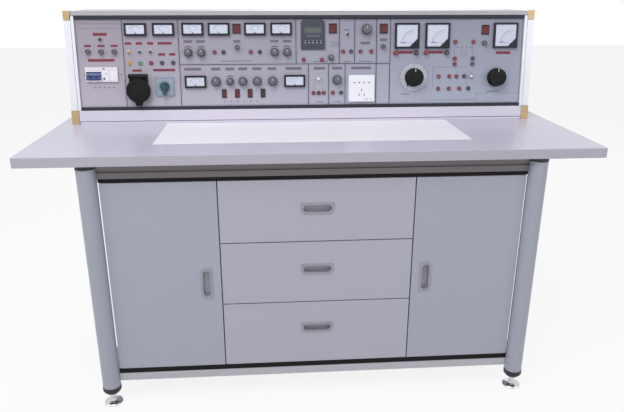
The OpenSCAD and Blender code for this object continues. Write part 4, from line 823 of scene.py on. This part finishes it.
# The knobs: moulded with knurled skirts and pressed on the shafts, grey for the small ones
# and black for the drive's two. Each has a cap and a pale pointer line that turn with it.
def fit_knob(node, place, skin, cap_steps, sides, cap_paint, pointer):
    """Installs a knob, and a cap and a pointer line on its face; pointer gives the line's sizes."""
    knob = only(solids_of(node)[0])
    bpy.ops.object.shade_smooth_by_angle(angle=math.radians(28))
    front = plate_face - reach(knob, upright)[0].y
    install([knob], node + "_skirt", skin, node, [node])
    cap = turned(cap_steps, sides)
    cap.data.transform(on_panel(*place, front - 0.05))
    install([cap], node + "_cap", cap_paint, node)
    width, length, corner, middle, rise = pointer
    line = tablet(width, length, 0.12, corner,
                  on_panel(*place, front + rise) @ Matrix.Translation((0, middle * mm, 0)))
    install([line], node + "_pointer", pointer_white, node)


knob_grey = finish("knob_grey_skin", tint(80, 82, 89), 0.42, drift=0.12, patches=40, smudge=0.15,
                   pitch=1500, depth=0.04)
knob_black = finish("knob_black_skin", tint(12, 12, 14), 0.55, drift=0.25, patches=30, smudge=0.2,
                    pitch=1300, depth=0.05, Specular_IOR_Level=0.22)
cap_grey = finish("cap_grey", tint(98, 99, 107), 0.42, drift=0.1, patches=60, metallic=0.2)
pointer_white = finish("pointer_white", tint(214, 214, 218), 0.5, drift=0.1, patches=80)
knob_places = {"counter_knob": (counter + 113, upper + 19, 9.5), "timer_knob": (timer + 38, upper + 107, 17),
               "source_knob": (source + 28, lower + 80, 15.5)}
generator_knobs = ((113, 15.5), (158, 12.5), (199, 14.5), (245, 14.5), (295, 15.5))
for number, (shift, radius) in enumerate(generator_knobs, 1):
    knob_places["generator_knob_%d" % number] = (twin + shift, lower + 78, radius)
for number, shift in enumerate((29, 70, 303, 343), 1):
    knob_places["supply_knob_%d" % number] = (twin + shift, upper + 37.5, 13.5)
for node, (across, up, radius) in knob_places.items():
    small = radius - 5
    fit_knob(node, (across, up), knob_grey, [(small, 0), (small, 0.25), (small - 0.8, 0.5)], 36,
             cap_grey, (1.1, small * 0.75, 0.2, small * 0.5, 0.44))
transformer, speed = (drive + 80, lower + 86), (drive + 356, lower + 84)
for node, place in (("transformer_knob", transformer), ("speed_knob", speed)):
    fit_knob(node, place, knob_black, [(17, 0), (17, 0.2), (15.5, 0.5), (13, 0.3)], 40,
             knob_black, (1.8, 11, 0.3, 23, -0.02))


# The fuse holders, lamps and push button: black bayonet caps with a slot, domed lenses in
# plated rims, and a black button with a plated ring, all nutted behind the plates.
fuse_black = glossy("fuse_black", tint(30, 29, 33), 0.35)
rim_plated = finish("rim_plated", tint(178, 178, 184), 0.22, metallic=1.0, drift=0.15, patches=80)
holder_width, cap_out, ring_out, lens_out = 14, 10.9, 11, 6.0
holders, rims = [], []
for part in solids_of("fuses_and_lamps"):
    (holders if breadth(part) > holder_width else rims).append(round_edges(part, 0.3))
install(holders, "fuse_holders", fuse_black, stands_for=["fuses_and_lamps"])
install(rims, "lamp_rims", rim_plated)
fuse_form = turned([(6.6, 0), (6.6, 0.25), (5.8, 0.4)], 28)
slot_form = tablet(8.5, 1.3, 0.1, 0, Matrix.Translation((0, 0, 0.4 * mm)))
caps, slots, rings = [], [], []
for across, up in ((mains + 34.5, lower + 173), (mains + 75, lower + 173), (mains + 115.5, lower + 173),
                   (twin + 184, upper + 53), (fuse + 22.5, upper + 53), (drive + 313, lower + 194)):
    caps.append(copy_at(fuse_form, on_panel(across, up, cap_out)))
    rings.append(sweep(7.2, 1.0, 0, 360, 0.3, on_panel(across, up, ring_out), 28))
    slots.append(copy_at(slot_form, on_panel(across, up, cap_out, 30)))
install(caps, "fuse_caps", fuse_black)
install(slots, "fuse_slots", sleeve_metal)
install(rings, "fuse_rings", rim_plated)
lens_form = turned([(4.6, 0), (4.6, 0.5), (4.0, 1.3), (2.8, 1.9), (1.2, 2.2)], 28)
lenses = ((supply + 16, lower + 172.5, "gold"), (supply + 50, lower + 172.5, "darkgreen"),
          (supply + 84, lower + 172.5, "darkred"), (lamps_at + 33, lower + 83, "white"),
          (pulse + 26, upper + 92.5, "black"), (drive + 273, lower + 88, "white"))
for number, (across, up, colour) in enumerate(lenses, 1):
    install([copy_at(lens_form, on_panel(across, up, lens_out))], "lamp_lens_%d" % number,
            socket_paints[colour])
for form in (fuse_form, slot_form, lens_form):
    bpy.data.objects.remove(form)
install_node("push_button", "push_button_cap", fuse_black, "push_button", 0.4, 3)
install([sweep(6.6, 1.4, 0, 360, 0.4, on_panel(mains + 74.5, lower + 210, 2), 32)], "push_button_ring",
        rim_plated)


# What is printed on the plates: title bars, left bare, and the lines, arcs and scales that
# the knobs point to. The ink is screened on, a tenth of a millimetre thick.
soft_ends = 0.25
red_bars = [(-642.5, 279.5, 43, 9)]
red_bars += [(across, 244.5, 22, 7) for across in (-683, -641, -601)]
red_bars += [(-644, 200.5, 82, 8.5)]
red_bars += [(across, 251.5, 20, 8) for across in (-558, -524, -489)]
red_bars += [(-444, 251.5, 44, 8), (-455, 217.5, 22, 8), (-422, 217.5, 20, 8), (-535, 168, 30, 7),
             (-450, 169, 70, 8), (328.5, 219.5, 47, 9), (429.5, 219.5, 47, 9), (654.5, 216.5, 49, 9)]
install(flat_bars(red_bars, rounding=soft_ends), "red_title_bars", label_red)
grey_bars = [(-371, 256.5, 28, 8.5), (-332, 256.5, 28, 8.5), (-217, 256.5, 23, 8), (-98, 256.5, 28, 8.5),
             (-57, 256.5, 28, 8.5), (-360, 171, 54, 8.5)]
grey_bars += [(across, 171, 29, 9) for across in (-287, -242, -201, -156, -107)]
grey_bars += [(-37, 171, 52, 8.5), (196, 249.5, 32, 9), (255, 259.5, 24, 9), (47, 171, 38, 8.5),
              (104, 171, 33, 8.5), (183, 171, 66, 8.5), (136, 290.5, 20, 3)]
install(flat_bars(grey_bars, rounding=soft_ends), "grey_title_bars", label_grey)
ink = finish("ink", tint(62, 58, 74), 0.55, drift=0.2, patches=60)
lines = [(-642.5, 311, 128, 1.0), (-642.5, 297, 117, 0.7), (-219, 195.5, 100, 1.6), (97, 247, 26, 1.2),
         (97, 241, 26, 1.2), (97, 253, 26, 1.2), (47, 63, 26, 1.6), (104, 63, 26, 1.6), (332, 86, 30, 2.2),
         (627, 92.5, 42, 2.2), (50, 192, 46, 1.6), (136, 192, 26, 1.6), (196, 192, 44, 1.6),
         (491, 215, 0.7, 66), (550, 215, 0.7, 66), (479, 65.5, 184, 0.7), (571, 78.5, 0.7, 26),
         (641.5, 86.5, 141, 0.7), (421, 139, 0.7, 66), (479, 171.5, 116, 0.7), (537, 129.5, 0.7, 30),
         (30, 118, 0.6, 34), (57, 118, 0.6, 34), (33.5, 136, 7, 0.6), (53.5, 136, 7, 0.6)]
install(flat_bars(lines, rounding=soft_ends), "printed_lines", ink)
low_foot, low_head, high_foot, high_head = 54.5, 184, 186, 324.5
modules = [(-716.5, -574.5, low_foot, high_head), (-572.5, -401.5, low_foot, high_head)]
modules += [(left, right, low_foot, low_head) for left, right in (
    (-399.5, 9.5), (11.5, 75.5), (77.5, 129.5), (131.5, 231.5), (233.5, 276.5))]
modules += [(278.5, 716.5, low_foot, high_head)]
modules += [(left, right, high_foot, high_head) for left, right in (
    (-399.5, -29.5), (-27.5, 110.5), (112.5, 160.5), (162.5, 231.5), (233.5, 276.5))]
margin = 2.6
borders = []
for left, right, foot, top_edge in modules:
    for level in (foot + margin, top_edge - margin):
        borders.append(((left + right) / 2, level, right - left - 2 * margin, 0.6))
    for edge in (left + margin, right - margin):
        borders.append((edge, (foot + top_edge) / 2, 0.6, top_edge - foot - 2 * margin))
install(flat_bars(borders, thick=0.06, rounding=soft_ends), "module_borders", label_grey)
big_dots = [(-669 + 14.5 * step, 116) for step in range(5)]
small_dots = [(-262.5 + 21 * step, 67) for step in range(6)] + [(500 + 15 * step, 234.5) for step in range(4)]
dots = [tablet(4.2, 4.2, 0.1, 1.6, on_panel(*spot)) for spot in big_dots]
dots += [tablet(3.4, 3.4, 0.1, 1.2, on_panel(*spot)) for spot in small_dots]
dots += [sweep(8.5, 0.9, 0, 360, 0.1, on_panel(*spot), 32) for spot in ((522, 214), (550, 141.7))]
install(dots, "printed_marks", ink)
scales = []
for node, (across, up, radius) in knob_places.items():
    for tick in range(11):
        length = 2.6 if tick % 5 else 3.6
        scales.append(spoke(across, up, 0, -36 + 25.2 * tick, radius + 3.2 - length / 2, length, 0.8, 0.1))
    if node.startswith("supply") or node == "generator_knob_2":
        scales.append(sweep(radius + 5.5, 2.4, 58, 122, 0.1, on_panel(across, up), 16))
scale_plate_out = 1.0
for place, out in ((transformer, scale_plate_out), (speed, 0)):
    scales += scale(*place, out, -60, 10, 31, 33.5, 4.2, 2.4, 0.6, 0.1)
scales.append(sweep(45.3, 0.8, 0, 360, 0.1, on_panel(*transformer, scale_plate_out), 64))
install(scales, "knob_scales", ink)
numbers = []
number_height, number_radius = 5.6, 41.2
for step in range(7):
    bpy.ops.object.select_all(action="DESELECT")
    bpy.ops.object.text_add()
    number = bpy.context.object
    number.data.body = str(step * 2)
    number.data.size = number_height * mm
    number.data.align_x = "CENTER"
    number.data.align_y = "CENTER"
    number.data.extrude = 0.05 * mm
    bpy.ops.object.convert(target="MESH")
    angle = math.radians(240 - 50 * step)
    number.data.transform(on_panel(transformer[0] + number_radius * math.cos(angle),
                                   transformer[1] + number_radius * math.sin(angle), 1.05))
    numbers.append(number)
install(numbers, "scale_numbers", ink)


# The screws at both sides of the breaker: small zinc-plated pan heads with a cross slot,
# which hold its plate to the bar behind.
head = turned([(2.6, 0), (2.6, 0.8), (2.0, 1.4), (0.9, 1.6)], 20)
# The cross slot is a dark cross laid on the head: painted shade for the slot's recess
slot_place = Matrix.Translation((0, 0, 1.58 * mm))
cross = join([tablet(2.8, 0.6, 0.06, 0, slot_place), tablet(0.6, 2.8, 0.07, 0, slot_place)])
screw_spots = [(-701, 157), (-586, 157)]
install([copy_at(head, on_panel(*spot)) for spot in screw_spots], "plate_screws", nut_zinc)
install([copy_at(cross, on_panel(*spot)) for spot in screw_spots], "screw_slot_shade", recess_shade_dark)
bpy.data.objects.remove(head)
bpy.data.objects.remove(cross)
